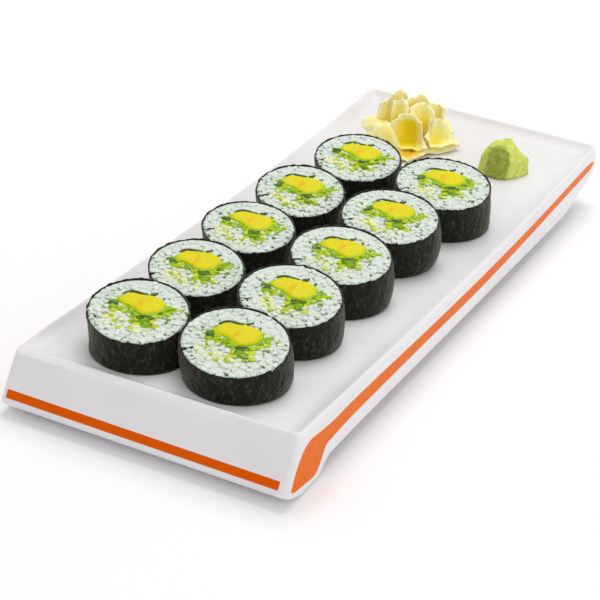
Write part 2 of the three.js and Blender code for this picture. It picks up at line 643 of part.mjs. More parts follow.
// ---- ginger -------------------------------------------------------------------------------
function gingerSlice(net) {
  const { across, along } = SLICE_STEPS;
  const through = (points, share) => (
    new THREE.CatmullRomCurve3(points, false, 'catmullrom', 0.5).getPoint(share)
  );
  const rows = net.map((row) => row.map((point) => new THREE.Vector3(...point)));
  const sheet = (s, t) => through(rows.map((row) => through(row, t)), s);
  const small = 0.02;
  const faces = [-0.5, 0.5].map((side) => {
    const points = [];
    for (let i = 0; i <= along; i += 1) {
      for (let j = 0; j <= across; j += 1) {
        const [s, t] = [i / along, j / across];
        const down = sheet(Math.min(1, s + small), t).sub(sheet(Math.max(0, s - small), t));
        const over = sheet(s, Math.min(1, t + small)).sub(sheet(s, Math.max(0, t - small)));
        const normal = over.cross(down).normalize();
        points.push(sheet(s, t).addScaledVector(normal, side * GINGER.thick).toArray());
      }
    }
    return points;
  });
  return sheetSolid(faces[0], faces[1], along, across);
}

function gingerCore() {
  const { x, y, width, depth, height } = GINGER_CORE;
  return solidOf(stackedRings(CORE_LEVELS.map(([share, level, shift]) => (
    Array.from({ length: CORE_SIDES }, (_, k) => {
      const angle = (2 * Math.PI * k) / CORE_SIDES;
      const lobe = share * (1 + 0.07 * Math.sin(3 * angle + 6 * level));
      return [x + (width / 2) * lobe * Math.cos(angle),
        y + shift + (depth / 2) * lobe * Math.sin(angle), level * height];
    })
  ))));
}

function ginger() {
  const { x, y, turn } = GINGER;
  const { width, height } = GINGER_CORE;
  const slices = Object.values(GINGER_SLICES).map(gingerSlice);
  const heap = slices.reduce((sum, slice) => sum.add(slice), gingerCore());
  const aboveFloor = new THREE.BoxGeometry(2 * width, 2 * width, 2 * height);
  aboveFloor.translate(0, 0, height);
  const whole = largestBody(heap.intersect(solidOf(aboveFloor)));
  const mesh = named('ginger', geometryFromSolid(whole), COLOURS.ginger);
  mesh.rotation.z = degToRad(turn);
  mesh.position.set(x, y, FLOOR_Z + GAP / 2);
  return mesh;
}

// ---- wasabi -------------------------------------------------------------------------------
function wasabi() {
  const crown = WASABI_RINGS.at(-1).map((point) => (
    point.map((value, axis) => lerp(WASABI_TOP[axis], value, WASABI_CROWN))
  ));
  const lump = stackedRings([...WASABI_RINGS, crown]);
  const mesh = named('wasabi', lump, COLOURS.wasabi);
  mesh.rotation.z = degToRad(GINGER.turn);
  mesh.position.set(WASABI.x, WASABI.y, FLOOR_Z + GAP / 2);
  return mesh;
}

// ---- assembly -----------------------------------------------------------------------------
const set = new THREE.Group();
ROLLS.forEach((roll, index) => {
  roll.seed = 11 + 7 * index;
});
set.add(tray(), ...ROLLS.map(rollPieces), ginger(), wasabi());
set.position.set(-BOX_MIDDLE[0], -BOX_MIDDLE[1], 0);
export default set;
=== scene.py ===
"""Ten maki rolls, a heap of pickled ginger and a lump of wasabi on a long white tray.

Lengths are in millimetres in the part's own frame and turn into metres where a mesh is made.
A place along the tray is "v", the distance behind its upper front edge.
"""
import math

import bpy
import numpy as np
from mathutils import Matrix, Vector


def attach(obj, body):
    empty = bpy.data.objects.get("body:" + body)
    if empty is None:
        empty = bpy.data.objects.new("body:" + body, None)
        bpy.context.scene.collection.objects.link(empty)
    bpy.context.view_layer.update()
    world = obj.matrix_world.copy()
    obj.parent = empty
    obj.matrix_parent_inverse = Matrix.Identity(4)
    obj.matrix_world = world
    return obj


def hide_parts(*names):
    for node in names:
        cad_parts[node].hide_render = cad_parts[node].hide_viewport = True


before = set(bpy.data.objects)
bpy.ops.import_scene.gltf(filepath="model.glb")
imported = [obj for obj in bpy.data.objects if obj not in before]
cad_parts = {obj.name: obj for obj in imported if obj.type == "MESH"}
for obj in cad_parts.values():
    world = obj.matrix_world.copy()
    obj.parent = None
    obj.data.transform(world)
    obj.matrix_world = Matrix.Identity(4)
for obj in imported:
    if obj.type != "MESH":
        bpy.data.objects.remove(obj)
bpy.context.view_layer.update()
MM = 0.001
GAP = 0.3
BOX_MIDDLE = np.array([-1.1, -1.25, 0])  # of the whole set, before it is moved to the origin

# ---- tray ----
TRAY_WIDTH = 124
TRAY_LENGTH = 310
FRONT_LEAN = 8
FRONT_EDGE_Y = -TRAY_LENGTH / 2 + FRONT_LEAN / 2
FLOOR_Z = 24.1
RIM_LOW_Z = 24.8
RIM_RISE = 3.3
RIM_LOW_V = 175
RIM_FRONT_REACH = 165
RIM_REAR_REACH = 114
UNDERSIDE_Z = 5.1
TOE_Z = 4.7
SOLE_V = (5, 16)
HEEL_V = 27
TAIL_V = 268
TAIL_RISE = 10
CORNER_RADIUS = 3
# The front foot stands further out than the rim, left and right, and further forward.
FOOT_FLARE = (3.1, 0.9)
FOOT_FORWARD = (3.0, 1.2)
FLARE_END_V = 47
FORWARD_V = (-8, 16)  # where the reach forward begins and has ended
FRONT_DIP = (3.3, 0.4)  # how far the front edge lies below the corners, left and right
FRONT_DIP_END_V = 16
REAR_FOOT = dict(width=96, depth=16, radius=6, v=258)
CORNER_Z = 29.1  # height of the plane through the rim's corners, which the bands hang from
# Orange bands: the upper and lower edge on the long sides as (v, drop below the corners).
SIDE_BAND_TOP = [(-6.4, 22), (-4.3, 17.4), (-2.1, 13.1), (1, 9.2), (4.4, 7.1), (8.8, 6.3),
                 (15.6, 7.1), (27.3, 8.2), (40, 8.2), (62, 8.4), (95, 9.2), (130, 9.8),
                 (166, 10), (205, 9.5), (245, 8.3), (287, 6.2), (304, 6), (307, 7.4)]
SIDE_BAND_FOOT = [(-6.4, 22), (-3.5, 23.4), (4.4, 24.3), (12.6, 25), (17.2, 22), (21.6, 16.5),
                  (30.6, 15.7), (54, 15.3), (119, 15.3), (155, 15.7), (192, 15.1), (230, 13.6),
                  (271, 11.5), (293, 10.4), (304, 9.6), (307, 8)]
FRONT_BAND_Z = (7.75, 10.9)
FRONT_BAND_X = (-62, 58.4)
NO_BAND = -5.0
STRIPE_END = (0.972, 0.982)  # two extra columns of points there, as a share of the front's half

# ---- rolls ----
# Name, centre of the cut, mean height above the floor, turn of the filling, radius at the cut and
# at the foot, low swell of the wall across the tray, shift of the foot, and slope of the cut.
ROLLS = [
    ("left_1", (-25.4, -123.4), 16.3, 0, (20.8, 20.9), -1.2, (2.2, -0.5), (-0.071, 0.146)),
    ("left_2", (-25.5, -78.7), 15.9, 4, (20, 19.7), 0, (1.7, 1), (-0.064, 0.14)),
    ("left_3", (-25.4, -35.3), 16.3, -3, (20.1, 19.5), 0, (1.9, 0.6), (-0.06, 0.113)),
    ("left_4", (-23.2, 7.5), 17, 2, (19.9, 19.5), 0, (1.7, 0.3), (-0.065, 0.165)),
    ("left_5", (-17.9, 53.9), 17, -4, (20, 20), 0, (1.7, 0.2), (-0.046, 0.147)),
    ("right_1", (17.7, -122.8), 15.9, 0, (21.2, 21.3), 1.4, (1.5, 0.6), (-0.055, 0.175)),
    ("right_2", (19.3, -81), 17.7, -3, (20.8, 19.1), 1.5, (3.5, -1.2), (-0.068, 0.15)),
    ("right_3", (20.2, -38.1), 17.8, 3, (21, 20.9), 1.6, (2.4, -3.1), (-0.074, 0.126)),
    ("right_4", (22.7, 3.3), 19.3, -2, (20.7, 20.6), 2.6, (0.7, -0.7), (-0.049, 0.142)),
    ("right_5", (28, 47), 19, 4, (21.4, 21.4), 0.6, (0.8, 0.4), (-0.063, 0.122)),
]
ROLL_SQUASH = 0.985  # depth of a roll along the tray over its width
NORI_THICK = 0.6
NORI_FLAP = dict(angle=223, reach=4.6, thick=0.7)
RICE_INSET = NORI_THICK + 0.1
FILLING_CENTRE = np.array([0, 0.5])
FILLING = [
    (10.8, 0.2), (9.6, 3), (12, 7.4), (9.4, 9.6), (6.8, 10.4), (3.6, 11.4), (0, 11.4),
    (-4.6, 9.8), (-8.6, 8.2), (-10.8, 5.3), (-12.4, 1.2), (-12.6, -2.2), (-9.6, -4.6),
    (-5, -4.2), (-1.8, -3.6), (-0.2, -5.5), (0.8, -8.6), (3.4, -9.9), (5.2, -7.6),
    (8.4, -8.6), (11.2, -5.6), (8.8, -3.2),
]
AVOCADO = [
    (-11.4, 1.6), (-10.6, 5.2), (-8.5, 8.1), (-4.6, 9.4), (0.4, 11), (4, 10.9), (6.8, 9.5),
    (8.9, 6.4), (7.6, 2.6), (4.2, -0.9), (0.6, -1.4), (-4, 0.2), (-8.4, 0.7),
]
AVOCADO_MIDDLE = (-1.5, 4.8)
# Dark lines of skin round the avocado: course and radius.
SKIN_LINES = [
    ([(-11.2, 5.4), (-8.8, 8.5), (-6.4, 9.5), (-3.7, 9.8), (-1.5, 10.5)], 0.34),
    ([(-1.3, 10.6), (0.5, 11.8), (0.9, 13.1)], 0.42),
    ([(-11.4, -2.4), (-10.4, -1.2), (-8.8, -0.4)], 0.3),
    ([(1.8, -3.2), (4.2, -2.2), (6.5, -0.7)], 0.4),
]
# Pieces of green: place, length, width, heading in degrees and tone from 0 dark to 1 yellow.
GREEN_PIECES = [
    (-11.2, 0, 4.2, 2.4, 40, 0.12), (-10.4, -1.6, 3.6, 1.5, 20, 0),
    (-9.6, -3.2, 3.6, 2, 25, 0.5), (-8.2, -4.6, 3.2, 2, 15, 0.85),
    (-7, -2.2, 3.6, 1.9, 10, 0.7), (-5.4, -3, 2.8, 1.6, -20, 0.9),
    (-3.2, -1.8, 4, 2.2, -35, 0.45), (-1.4, -2.4, 3.6, 1.9, -30, 0.6),
    (0.6, -2.6, 3.4, 1.7, 0, 0.8), (2.8, -2.2, 3.2, 1.4, 15, 0.5), (3.9, -3.6, 4.6, 1.4, 25, 0.05),
    (6.2, -1.9, 4.2, 1.3, 30, 0.1), (5.6, -4.9, 5.2, 3, 25, 0.3), (7, -5.6, 4.2, 2.4, 20, 0.4),
    (2.4, -5.2, 3.2, 2.2, 80, 0.9), (4, -7.8, 3.2, 2.2, 30, 0.9), (8.9, -3.6, 3.6, 2.2, 70, 0.95),
    (10.6, -5.4, 3.2, 2.3, 60, 0.9), (8.2, -0.4, 3.8, 1.8, 40, 0.8), (10, 1.6, 3.6, 1.7, 45, 0.75),
    (9.2, 2.9, 3.6, 1.3, 50, 0.1), (10.4, 4.4, 4.4, 2.2, 60, 0.5), (10.6, 7.2, 4.4, 2.4, 75, 0.4),
    (11.8, 6, 3.4, 2, 50, 0.7), (13.6, 7.9, 3.4, 1, 15, 0.8), (11.4, 3.6, 2.6, 1.6, 20, 0.9),
    (-7.2, -7.8, 2.4, 1.6, 30, 0.9), (-1.4, -12.6, 2.6, 1.8, 50, 0.9), (3.3, -10.9, 2.4, 1.6, 0, 0.85),
    (12.9, 1.4, 2, 1.2, 30, 0.3), (-4.5, -10.2, 2, 1.4, 10, 0.95),
]
SPECKS = [(-15, 1.2), (-12.6, -12.2), (4.7, 11.4), (16.7, -7.3), (6.7, -18.2), (-10, -15.6),
          (13.2, -1), (18, 7.7)]
LOOSE_SHREDS = 50  # laid at random under the pieces
GRAIN = dict(length=5, width=2.7, spacing=2.3, overhang=0.6, tries=2600)
# Where juice tints the rice: strongest share, middle and reach.
RICE_STAINS = [(0.75, (-6.5, -8.5), (6.5, 4.6)), (0.5, (3, -10), (8, 4.5))]

# ---- ginger and wasabi ----
GINGER = dict(x=-19, y=116, turn=23, thick=1.1)
# Lump inside the heap, and its rings: share of its width, share of its height, shift back.
GINGER_CORE = dict(middle=(-1, -1), width=40, depth=26, height=24)
GINGER_CORE_LEVELS = [(0.02, 0, 3), (0.56, 0, 3), (0.56, 0.08, 4), (0.46, 0.26, 6.5),
                      (0.4, 0.46, 7), (0.32, 0.6, 7.2), (0.24, 0.7, 7.4), (0.02, 0.73, 7.4)]
# A slice is a bent sheet through four rows of four points, each x to the right, y away from the
# rolls and z up in the heap's own turned frame.
GINGER_SLICES = dict(
    front_cup=[
        [(-7.5, -12, 4.8), (-4, -14.5, 3.6), (2.5, -14.5, 3.8), (8.8, -12.5, 4.4)],
        [(-9.8, -9, 9), (-4.8, -5, 4), (1.5, -5, 4.5), (5.6, -9.5, 8)],
        [(-9.8, -8.5, 13), (-5, -2.5, 12), (1.2, -2.5, 12), (5.6, -8, 12.6)],
        [(-8.9, -8, 15.6), (-6, -5.5, 17.6), (0.6, -5.5, 17.8), (4.6, -7.2, 16)]],
    right_fold=[
        [(6.5, -9, 9), (9.6, -10.5, 4.9), (15.5, -8.5, 4.6), (22, -3, 3.4)],
        [(7.5, -4, 9), (10.5, -5, 4), (16, -3, 5), (21, 0, 5)],
        [(8, -2, 12), (11.5, -1, 10), (15.5, 0, 10), (18.5, 2, 8.5)],
        [(8.5, -2, 15), (12, 0, 15), (15, 2, 14.5), (17, 3, 11.5)]],
    right_base=[
        [(2, -15, 1), (9, -11, 0.8), (16, -8, 0.8), (23.5, -2, 1.8)],
        [(3, -11, 2), (9.5, -8, 2.5), (16.5, -5, 2.5), (23.8, -0.5, 3)],
        [(4, -7, 3), (10, -4, 4), (16.5, -2, 4), (22, 2, 4)],
        [(4, -4, 3), (10, -1, 4), (16, 2, 4), (20, 5, 3.5)]],
    front_base=[
        [(-6, -20, 1), (-1.5, -21.5, 0.8), (3, -18, 1), (7, -14, 1.2)],
        [(-7, -17, 2), (-2, -17.5, 2.2), (3, -15, 2.2), (7.5, -12, 2.2)],
        [(-8, -13, 3), (-2, -13.5, 2.6), (3, -12, 2.4), (7.5, -10, 2.4)],
        [(-8, -10, 2.8), (-2, -10, 2.2), (3, -9, 2), (7, -8, 2)]],
    spike=[
        [(-12, 6, 8), (-8, 8, 8), (-5, 8, 8), (-2, 6, 8)],
        [(-12.5, 7, 14), (-8.5, 9, 14), (-5, 9, 14), (-2, 7, 14)],
        [(-11.5, 8, 20), (-8.5, 10, 20.5), (-5.5, 10, 21), (-3, 8, 19.5)],
        [(-9, 9, 21.8), (-7.8, 10.5, 24), (-6.2, 10.5, 24.4), (-4.6, 9, 22)]],
    crest=[
        [(-4, 3, 8), (0, 5, 8), (4, 5, 8), (8, 3, 8)],
        [(-4.5, 4, 13), (0, 7, 13), (4, 7, 13), (8.5, 4, 13)],
        [(-4, 5, 18), (-0.5, 8.5, 18.5), (4, 8.5, 19), (8, 5.5, 18)],
        [(-3.6, 6, 20.8), (-0.5, 9, 22.2), (4, 9, 23.2), (7.8, 6, 20.8)]],
    shoulder=[
        [(3.5, 1, 6), (7.5, 3, 6), (11.5, 3, 6), (14.5, 0, 6)],
        [(4.5, 3, 11), (8, 6, 11), (12, 6, 11.5), (15, 3, 10.5)],
        [(5.5, 5, 16), (8.5, 8, 16.5), (12.5, 8, 16.5), (15.5, 5, 15)],
        [(6, 6, 19), (9, 8.5, 19.6), (12.5, 8.5, 19.4), (15, 6, 18)]],
    left_crest=[
        [(-15, 0, 6), (-12, 3, 6), (-9, 3, 6), (-6, 1, 6)],
        [(-16.5, 2, 11), (-13, 5, 11), (-9.5, 5, 11), (-6, 3, 11)],
        [(-17, 4, 15.5), (-13.5, 7, 16), (-10, 7, 16.5), (-6.5, 4.5, 16)],
        [(-16.5, 5, 18.6), (-13.5, 8, 19.4), (-10.5, 8, 20.6), (-7.5, 5.5, 19.5)]],
    left_flap=[
        [(-8, -6, 4), (-8, -1, 6), (-8, 4, 7), (-8, 8, 5)],
        [(-13, -7, 4.5), (-13, -1.5, 8.5), (-13, 4.5, 9.5), (-13, 9, 6)],
        [(-18.5, -5, 4), (-18.5, -1, 9), (-18.5, 5, 11), (-18, 9, 7)],
        [(-23, -2, 3), (-24.5, 1, 6), (-23.5, 5.5, 8.5), (-21, 8.5, 5)]],
    left_fold=[
        [(-18, -10, 2), (-14, -14, 1.5), (-10, -15, 1.5), (-6, -14, 2)],
        [(-18.5, -8, 6), (-14.5, -12, 6.5), (-10, -13, 6.5), (-6.5, -11.5, 6)],
        [(-18, -5.5, 9.5), (-14, -8.5, 11), (-10.5, -9.5, 11), (-8, -9, 9.5)],
        [(-16.5, -3, 11.5), (-13.5, -5, 13), (-11, -6, 13), (-9, -6.5, 11.5)]],
    middle_left=[
        [(-10, -2, 6), (-8, 0, 6), (-5, 0.5, 6), (-2.5, -0.8, 6)],
        [(-10.5, -1, 12), (-8.5, 2, 12), (-5, 2, 12), (-2.6, 0, 12)],
        [(-10.5, 1, 17), (-8.5, 4, 17.5), (-5.2, 4, 17.8), (-2.8, 0, 17)],
        [(-9.5, 3, 20), (-8, 5.5, 21.5), (-5.4, 5.5, 21.8), (-3.2, 2.5, 20.5)]],
    middle_right=[
        [(-1.6, -0.6, 6), (3.4, 0, 6), (7, -1, 6), (10, -4, 7)],
        [(-1.8, 0, 12), (3.2, 1.4, 12), (7, 1, 12), (10.5, -3, 12)],
        [(-1.8, 0.6, 17), (3, 3, 17.5), (7, 3, 17.5), (10.5, -1.5, 16)],
        [(-1, 1.4, 19.8), (3.5, 4.5, 21), (7, 4.5, 20.5), (10.2, 1, 18.6)]],
    back_flap=[
        [(-12, 8, 2), (-5, 10, 2), (3, 10, 2), (10, 8, 2)],
        [(-13, 12, 4), (-5, 15, 5), (3, 15, 5), (11, 12, 4)],
        [(-12, 15, 6), (-5, 18, 6.5), (3, 18, 6), (10, 15, 5)],
        [(-9, 18, 3), (-4, 21, 3), (2, 21, 2.8), (8, 18, 2.5)]],
    back_fold=[
        [(6, 4, 3), (10, 7, 3), (15, 7, 3), (19, 3, 3)],
        [(7, 8, 7), (11, 12, 8), (16, 11, 8), (20, 6, 6)],
        [(9, 12, 8), (13, 16, 8), (18, 14, 7), (20.5, 8, 5)],
        [(11, 15, 4), (14, 18, 4), (18, 16, 3.5), (20.5, 10, 3)]],
    back_crest=[
        [(-14, 4, 3), (-9, 9, 3), (-3, 9, 3), (2, 6, 3)],
        [(-14.5, 7, 8), (-9.5, 12, 9), (-3, 12, 9), (3, 8, 8)],
        [(-14, 9, 13), (-9.5, 13, 14.5), (-3, 13, 14.5), (3, 9.5, 13)],
        [(-12, 10, 16), (-8.5, 12.5, 18), (-4, 12.5, 18), (1.5, 10, 16)]],
)
# Lump of wasabi: outlines (x, y, z) from its foot to its knife-cut top, counter-clockwise.
WASABI = dict(x=31.6, y=113.7)
WASABI_RINGS = [
    [(11.6, 1.1, 0), (8.9, 7.2, 0), (2, 10, 0), (-5, 9.4, 0), (-10.6, 5.2, 0),
     (-12.4, -0.9, 0), (-9.4, -6.4, 0), (-3.6, -9.4, 0), (0.7, -9.2, 0), (8.2, -3.7, 0)],
    [(11, 0.9, 7.4), (8, 6.2, 7.6), (1.8, 8.8, 7.8), (-5, 8.1, 7.6), (-10.4, 4.4, 7.2),
     (-11.6, -1, 7), (-9, -5.9, 7), (-3.6, -7.9, 7.2), (2, -7.9, 7.4),
     (7.6, -3.5, 7.2)],
    [(6.6, 0.9, 10), (5.2, 4.6, 10.4), (1.2, 6.6, 11), (-4.6, 6.2, 11), (-8.8, 3.2, 10.4),
     (-9.8, -1, 10.4), (-8, -5, 10.4), (-3.2, -6.6, 10.8), (1.6, -6.8, 10.6),
     (4.8, -3, 10.4)],
    [(2.9, 1, 15.4), (2, 3, 16.2), (-0.8, 3.6, 15.6), (-4.6, 2.8, 14.8), (-7.4, 1.2, 13.8),
     (-8.2, -1.2, 13.5), (-7.2, -3.9, 14), (-3.2, -4.7, 14.2), (0.9, -5.4, 12.9),
     (2.7, -2.2, 14.8)],
]
WASABI_TOP = (-2, 0, 15.2)
WASABI_CREASE = 0.75  # 0 for round walls, 1 for flat facets with sharp edges between
WASABI_CUT = ((5.7, 6.15), (7.85, 8.1))  # corners that the painted shade on its front-left side fades in and out at

# ---- camera and light ----
CAMERA_PLACE = (330.2, -707, 423)
CAMERA_AZIMUTH = 26.0938
CAMERA_ELEVATION = 28.7146
CAMERA_ROLL = 3.9035
CAMERA_LENS = 120  # for a sensor 36 mm wide
# Square lights that face the set, in metres and watts.
KEY_LIGHT = dict(place=(-0.1, 0.5, 1.2), size=0.8, power=7.8)
FILL_LIGHT = dict(place=(1.3, -0.55, 0.45), size=0.9, power=3.6)
WORLD_LIGHT = 0.7
FLOOR_HALF = 6


# ---- numbers and noise ----
def smoothstep(x, low, high):
    t = np.clip((x - low) / (high - low), 0, 1)
    return t * t * (3 - 2 * t)


def lerp(pair, share):
    return (1 - share) * pair[0] + share * pair[1]


def circle(count):
    """Angles evenly round a circle."""
    return np.linspace(0, 2 * np.pi, count, endpoint=False)


def headings(angle):
    return np.column_stack([np.cos(angle), np.sin(angle)])


def raised(flat, z):
    """Flat points (n, 2) at a height each, or all at one height."""
    return np.column_stack([flat, np.broadcast_to(z, len(flat))])


def wrap_noise(seed):
    """Smooth noise over space, -1 to 1: call it with points (n, 3) and the size of its lumps."""
    cells = 32
    table = np.random.default_rng(seed).uniform(-1, 1, (cells, cells, cells))

    def value(points, size):
        p = np.asarray(points, float) / size
        cell = np.floor(p).astype(int)
        t = smoothstep(p - cell, 0, 1)
        total = np.zeros(len(p))
        for corner in np.ndindex(2, 2, 2):
            i, j, k = ((cell + corner) % cells).T
            weight = np.prod(np.where(np.array(corner), t, 1 - t), axis=1)
            total += weight * table[i, j, k]
        return total

    return value


def smooth_loop(points, count, closed=True):
    """Points evenly spaced in parameter on a Catmull-Rom curve through the given ones."""
    p = np.asarray(points, float)
    ends = (p[-1], p[:2]) if closed else (2 * p[0] - p[1], 2 * p[-1] - p[-2])
    p = np.vstack([ends[0], p, ends[1]])
    spans = len(p) - 3
    at = np.linspace(0, spans, count, endpoint=not closed)
    cell = np.minimum(at.astype(int), spans - 1)
    t = (at - cell)[:, None]
    a, b, c, d = (p[cell + k] for k in range(4))
    return 0.5 * (2 * b + (c - a) * t + (2 * a - 5 * b + 4 * c - d) * t ** 2
                  + (3 * b - a - 3 * c + d) * t ** 3)


def creased_loop(points, count, closed=True):
    """Points between the smooth curve and the straight lines through the given ones."""
    p = np.asarray(points, float)
    last = len(p) if closed else len(p) - 1
    at = np.linspace(0, last, count, endpoint=not closed)
    cell = np.minimum(at.astype(int), last - 1)
    straight = lerp((p[cell], p[(cell + 1) % len(p)]), (at - cell)[:, None])
    return lerp((smooth_loop(p, count, closed), straight), WASABI_CREASE)


def turned(points, degrees):
    a = math.radians(degrees)
    rotation = np.array([[math.cos(a), math.sin(a)], [-math.sin(a), math.cos(a)]])
    return np.asarray(points, float) @ rotation


def spun(points, z, y, x):
    """Points turned about X, then about Y, then about Z, by angles in radians."""
    turn = Matrix.Rotation(z, 3, "Z") @ Matrix.Rotation(y, 3, "Y") @ Matrix.Rotation(x, 3, "X")
    return points @ np.array(turn).T


def inside(spot, loop):
    """Whether a spot lies inside a closed loop."""
    (x, y), (x0, y0), (x1, y1) = spot, loop.T, np.roll(loop, -1, axis=0).T
    crosses = (y0 > y) != (y1 > y)
    with np.errstate(divide="ignore", invalid="ignore"):
        at = x0 + (y - y0) * (x1 - x0) / (y1 - y0)
    return np.sum(crosses & (x < at)) % 2 == 1


def distance_to(points, loop):
    """Distance of points (n, 2) to the nearest edge of a closed loop."""
    a, b = loop[None], np.roll(loop, -1, axis=0)[None]
    p = points[:, None]
    along = np.sum((p - a) * (b - a), axis=2) / np.maximum(np.sum((b - a) ** 2, axis=2), 1e-9)
    nearest = a + np.clip(along, 0, 1)[..., None] * (b - a)
    return np.min(np.linalg.norm(p - nearest, axis=2), axis=1)


# ---- meshes ----
def grid_faces(rows, columns, start=0, wrap_columns=False, wrap_rows=False):
    """Quads of a grid of points, row after row, outside on the right of the rows' run."""
    faces = []
    for r in range(rows if wrap_rows else rows - 1):
        up = (r + 1) % rows
        for c in range(columns if wrap_columns else columns - 1):
            right = (c + 1) % columns
            faces.append((start + r * columns + c, start + r * columns + right,
                          start + up * columns + right, start + up * columns + c))
    return faces


def flipped(faces):
    return [face[::-1] for face in faces]


def tube_faces(rows, around):
    """Quads round a stack of rings, with one face over the first ring and one over the last."""
    return [*grid_faces(rows, around, wrap_columns=True), tuple(range(around))[::-1],
            tuple(range((rows - 1) * around, rows * around))]


def sheet_faces(rows, columns):
    """Faces of a thin sheet, given by the grid of its lower side and then that of its upper."""
    layer = rows * columns
    edge = [*range(columns),
            *(r * columns + columns - 1 for r in range(1, rows)),
            *((rows - 1) * columns + k for k in range(columns - 2, -1, -1)),
            *(r * columns for r in range(rows - 2, 0, -1))]
    return [*flipped(grid_faces(rows, columns)), *grid_faces(rows, columns, layer),
            *((a, b, layer + b, layer + a) for a, b in zip(edge, edge[1:] + edge[:1]))]


def placed(name, data):
    made = bpy.data.objects.new(name, data)
    bpy.context.scene.collection.objects.link(made)
    return made


class Shape:
    """Points round an origin, faces and per-point values gathered into one mesh."""

    def __init__(self, origin):
        self.origin = origin
        self.points, self.faces, self.values, self.slots = [], [], {}, []
        self.count = 0

    def add(self, points, faces, slot=0, **values):
        self.points.append(points + self.origin)
        self.faces.extend(tuple(i + self.count for i in face) for face in faces)
        self.slots.extend([slot] * len(faces))
        for name in set(self.values) | set(values):
            column = np.broadcast_to(values.get(name, 0.0), (len(points),))
            self.values.setdefault(name, [np.zeros(self.count)]).append(column)
        self.count += len(points)

    def piece(self, name, materials, replaced):
        mesh = bpy.data.meshes.new(name)
        points = (np.vstack(self.points) - BOX_MIDDLE) * MM
        mesh.from_pydata(points.tolist(), [], self.faces)
        for material in materials:
            mesh.materials.append(material)
        mesh.polygons.foreach_set("material_index", self.slots)
        mesh.shade_smooth()
        for key, columns in self.values.items():
            attribute = mesh.attributes.new(key, "FLOAT", "POINT")
            attribute.data.foreach_set("value", np.concatenate(columns).astype(np.float32))
        mesh.update()
        made = placed(name, mesh)
        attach(made, "root")
        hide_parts(*replaced)


# ---- materials ----
def colour(red, green, blue):
    """A colour given as it looks on a screen, 0 to 255, in the renderer's linear values."""
    linear = [c / 12.92 if c <= 0.04045 else ((c + 0.055) / 1.055) ** 2.4
              for c in (red / 255, green / 255, blue / 255)]
    return (*linear, 1.0)


class Nodes:
    """Short way to build a material's node tree."""

    def __init__(self, name):
        self.material = bpy.data.materials.new(name)
        self.material.use_nodes = True
        self.tree = self.material.node_tree
        self.shader = self.tree.nodes["Principled BSDF"]

    def node(self, kind, settings=None, **inputs):
        made = self.tree.nodes.new(kind)
        for key, value in (settings or {}).items():
            setattr(made, key, value)
        for key, value in inputs.items():
            self.put(made.inputs[key.replace("_", " ")], value)
        return made

    def put(self, socket, value):
        if isinstance(value, bpy.types.NodeSocket):
            self.tree.links.new(value, socket)
        else:
            socket.default_value = value

    def surface(self, **inputs):
        """Sets the shader's inputs and gives the finished material."""
        for key, value in inputs.items():
            self.put(self.shader.inputs[key.replace("_", " ")], value)
        return self.material

    def place(self):
        return self.node("ShaderNodeTexCoord").outputs["Object"]

    def value(self, name):
        return self.node("ShaderNodeAttribute", {"attribute_name": name}).outputs["Fac"]

    def noise(self, size, detail=3.0, roughness=0.55, vector=None):
        """Noise with lumps of a size in millimetres."""
        made = self.node("ShaderNodeTexNoise", Scale=1 / (size * MM), Detail=detail,
                         Roughness=roughness, Vector=vector or self.place())
        return made.outputs["Fac"]

    def upright_fibres(self):
        """Place squeezed so that noise comes out twice as long upwards as it is across."""
        return self.node("ShaderNodeMapping", Vector=self.place(), Scale=(1.0, 1.0, 0.5)).outputs[0]

    def ramp(self, factor, low, high):
        made = self.node("ShaderNodeMapRange", Value=factor, From_Min=low, From_Max=high)
        return made.outputs["Result"]

    def mix(self, factor, first, second):
        """First where the factor is 0, second where it is 1; a triple is a colour on a screen."""
        made = self.node("ShaderNodeMix", {"data_type": "RGBA"})
        for socket, value in zip((0, 6, 7), (factor, first, second)):
            self.put(made.inputs[socket], colour(*value) if isinstance(value, tuple) else value)
        return made.outputs[2]

    def bump(self, height, distance, strength, **normal):
        """Relief of a height field, its full depth given in millimetres."""
        return self.node("ShaderNodeBump", Height=height, Strength=strength,
                         Distance=distance * MM, **normal).outputs["Normal"]


def glaze_material():
    n = Nodes("white_glaze")
    band = n.ramp(n.value("band"), -0.12, 0.12)
    white = n.mix(n.ramp(n.noise(38, 2), 0.35, 0.65), (228, 225, 226), (232, 230, 231))
    side = n.mix(n.ramp(n.noise(9, 4), 0.3, 0.7), (232, 112, 4), (226, 104, 2))
    orange = n.mix(n.value("front"), side, (220, 88, 2))
    gloss = n.node("ShaderNodeMapRange", Value=band, To_Min=0.12, To_Max=0.04)
    return n.surface(
        Base_Color=n.mix(band, white, orange), Roughness=0.2,
        Specular_IOR_Level=gloss.outputs["Result"], Normal=n.bump(n.noise(22, 2), 0.05, 0.5))


def nori_material():
    n = Nodes("nori")
    blotch = n.ramp(n.noise(5.5, 5, 0.65), 0.35, 0.7)
    streak = n.noise(1.3, 6, 0.7, n.upright_fibres())
    dark = n.mix(blotch, (12, 13, 7), (24, 26, 16))
    grit = n.bump(n.noise(0.4, 3), 0.15, 0.6)
    return n.surface(
        Base_Color=n.mix(n.ramp(streak, 0.52, 0.74), dark, (80, 80, 64)), Roughness=0.36,
        Specular_IOR_Level=0.15, Sheen_Weight=0.4, Sheen_Roughness=0.3,
        Sheen_Tint=colour(222, 215, 186), Normal=n.bump(streak, 0.8, 1.0, Normal=grit))


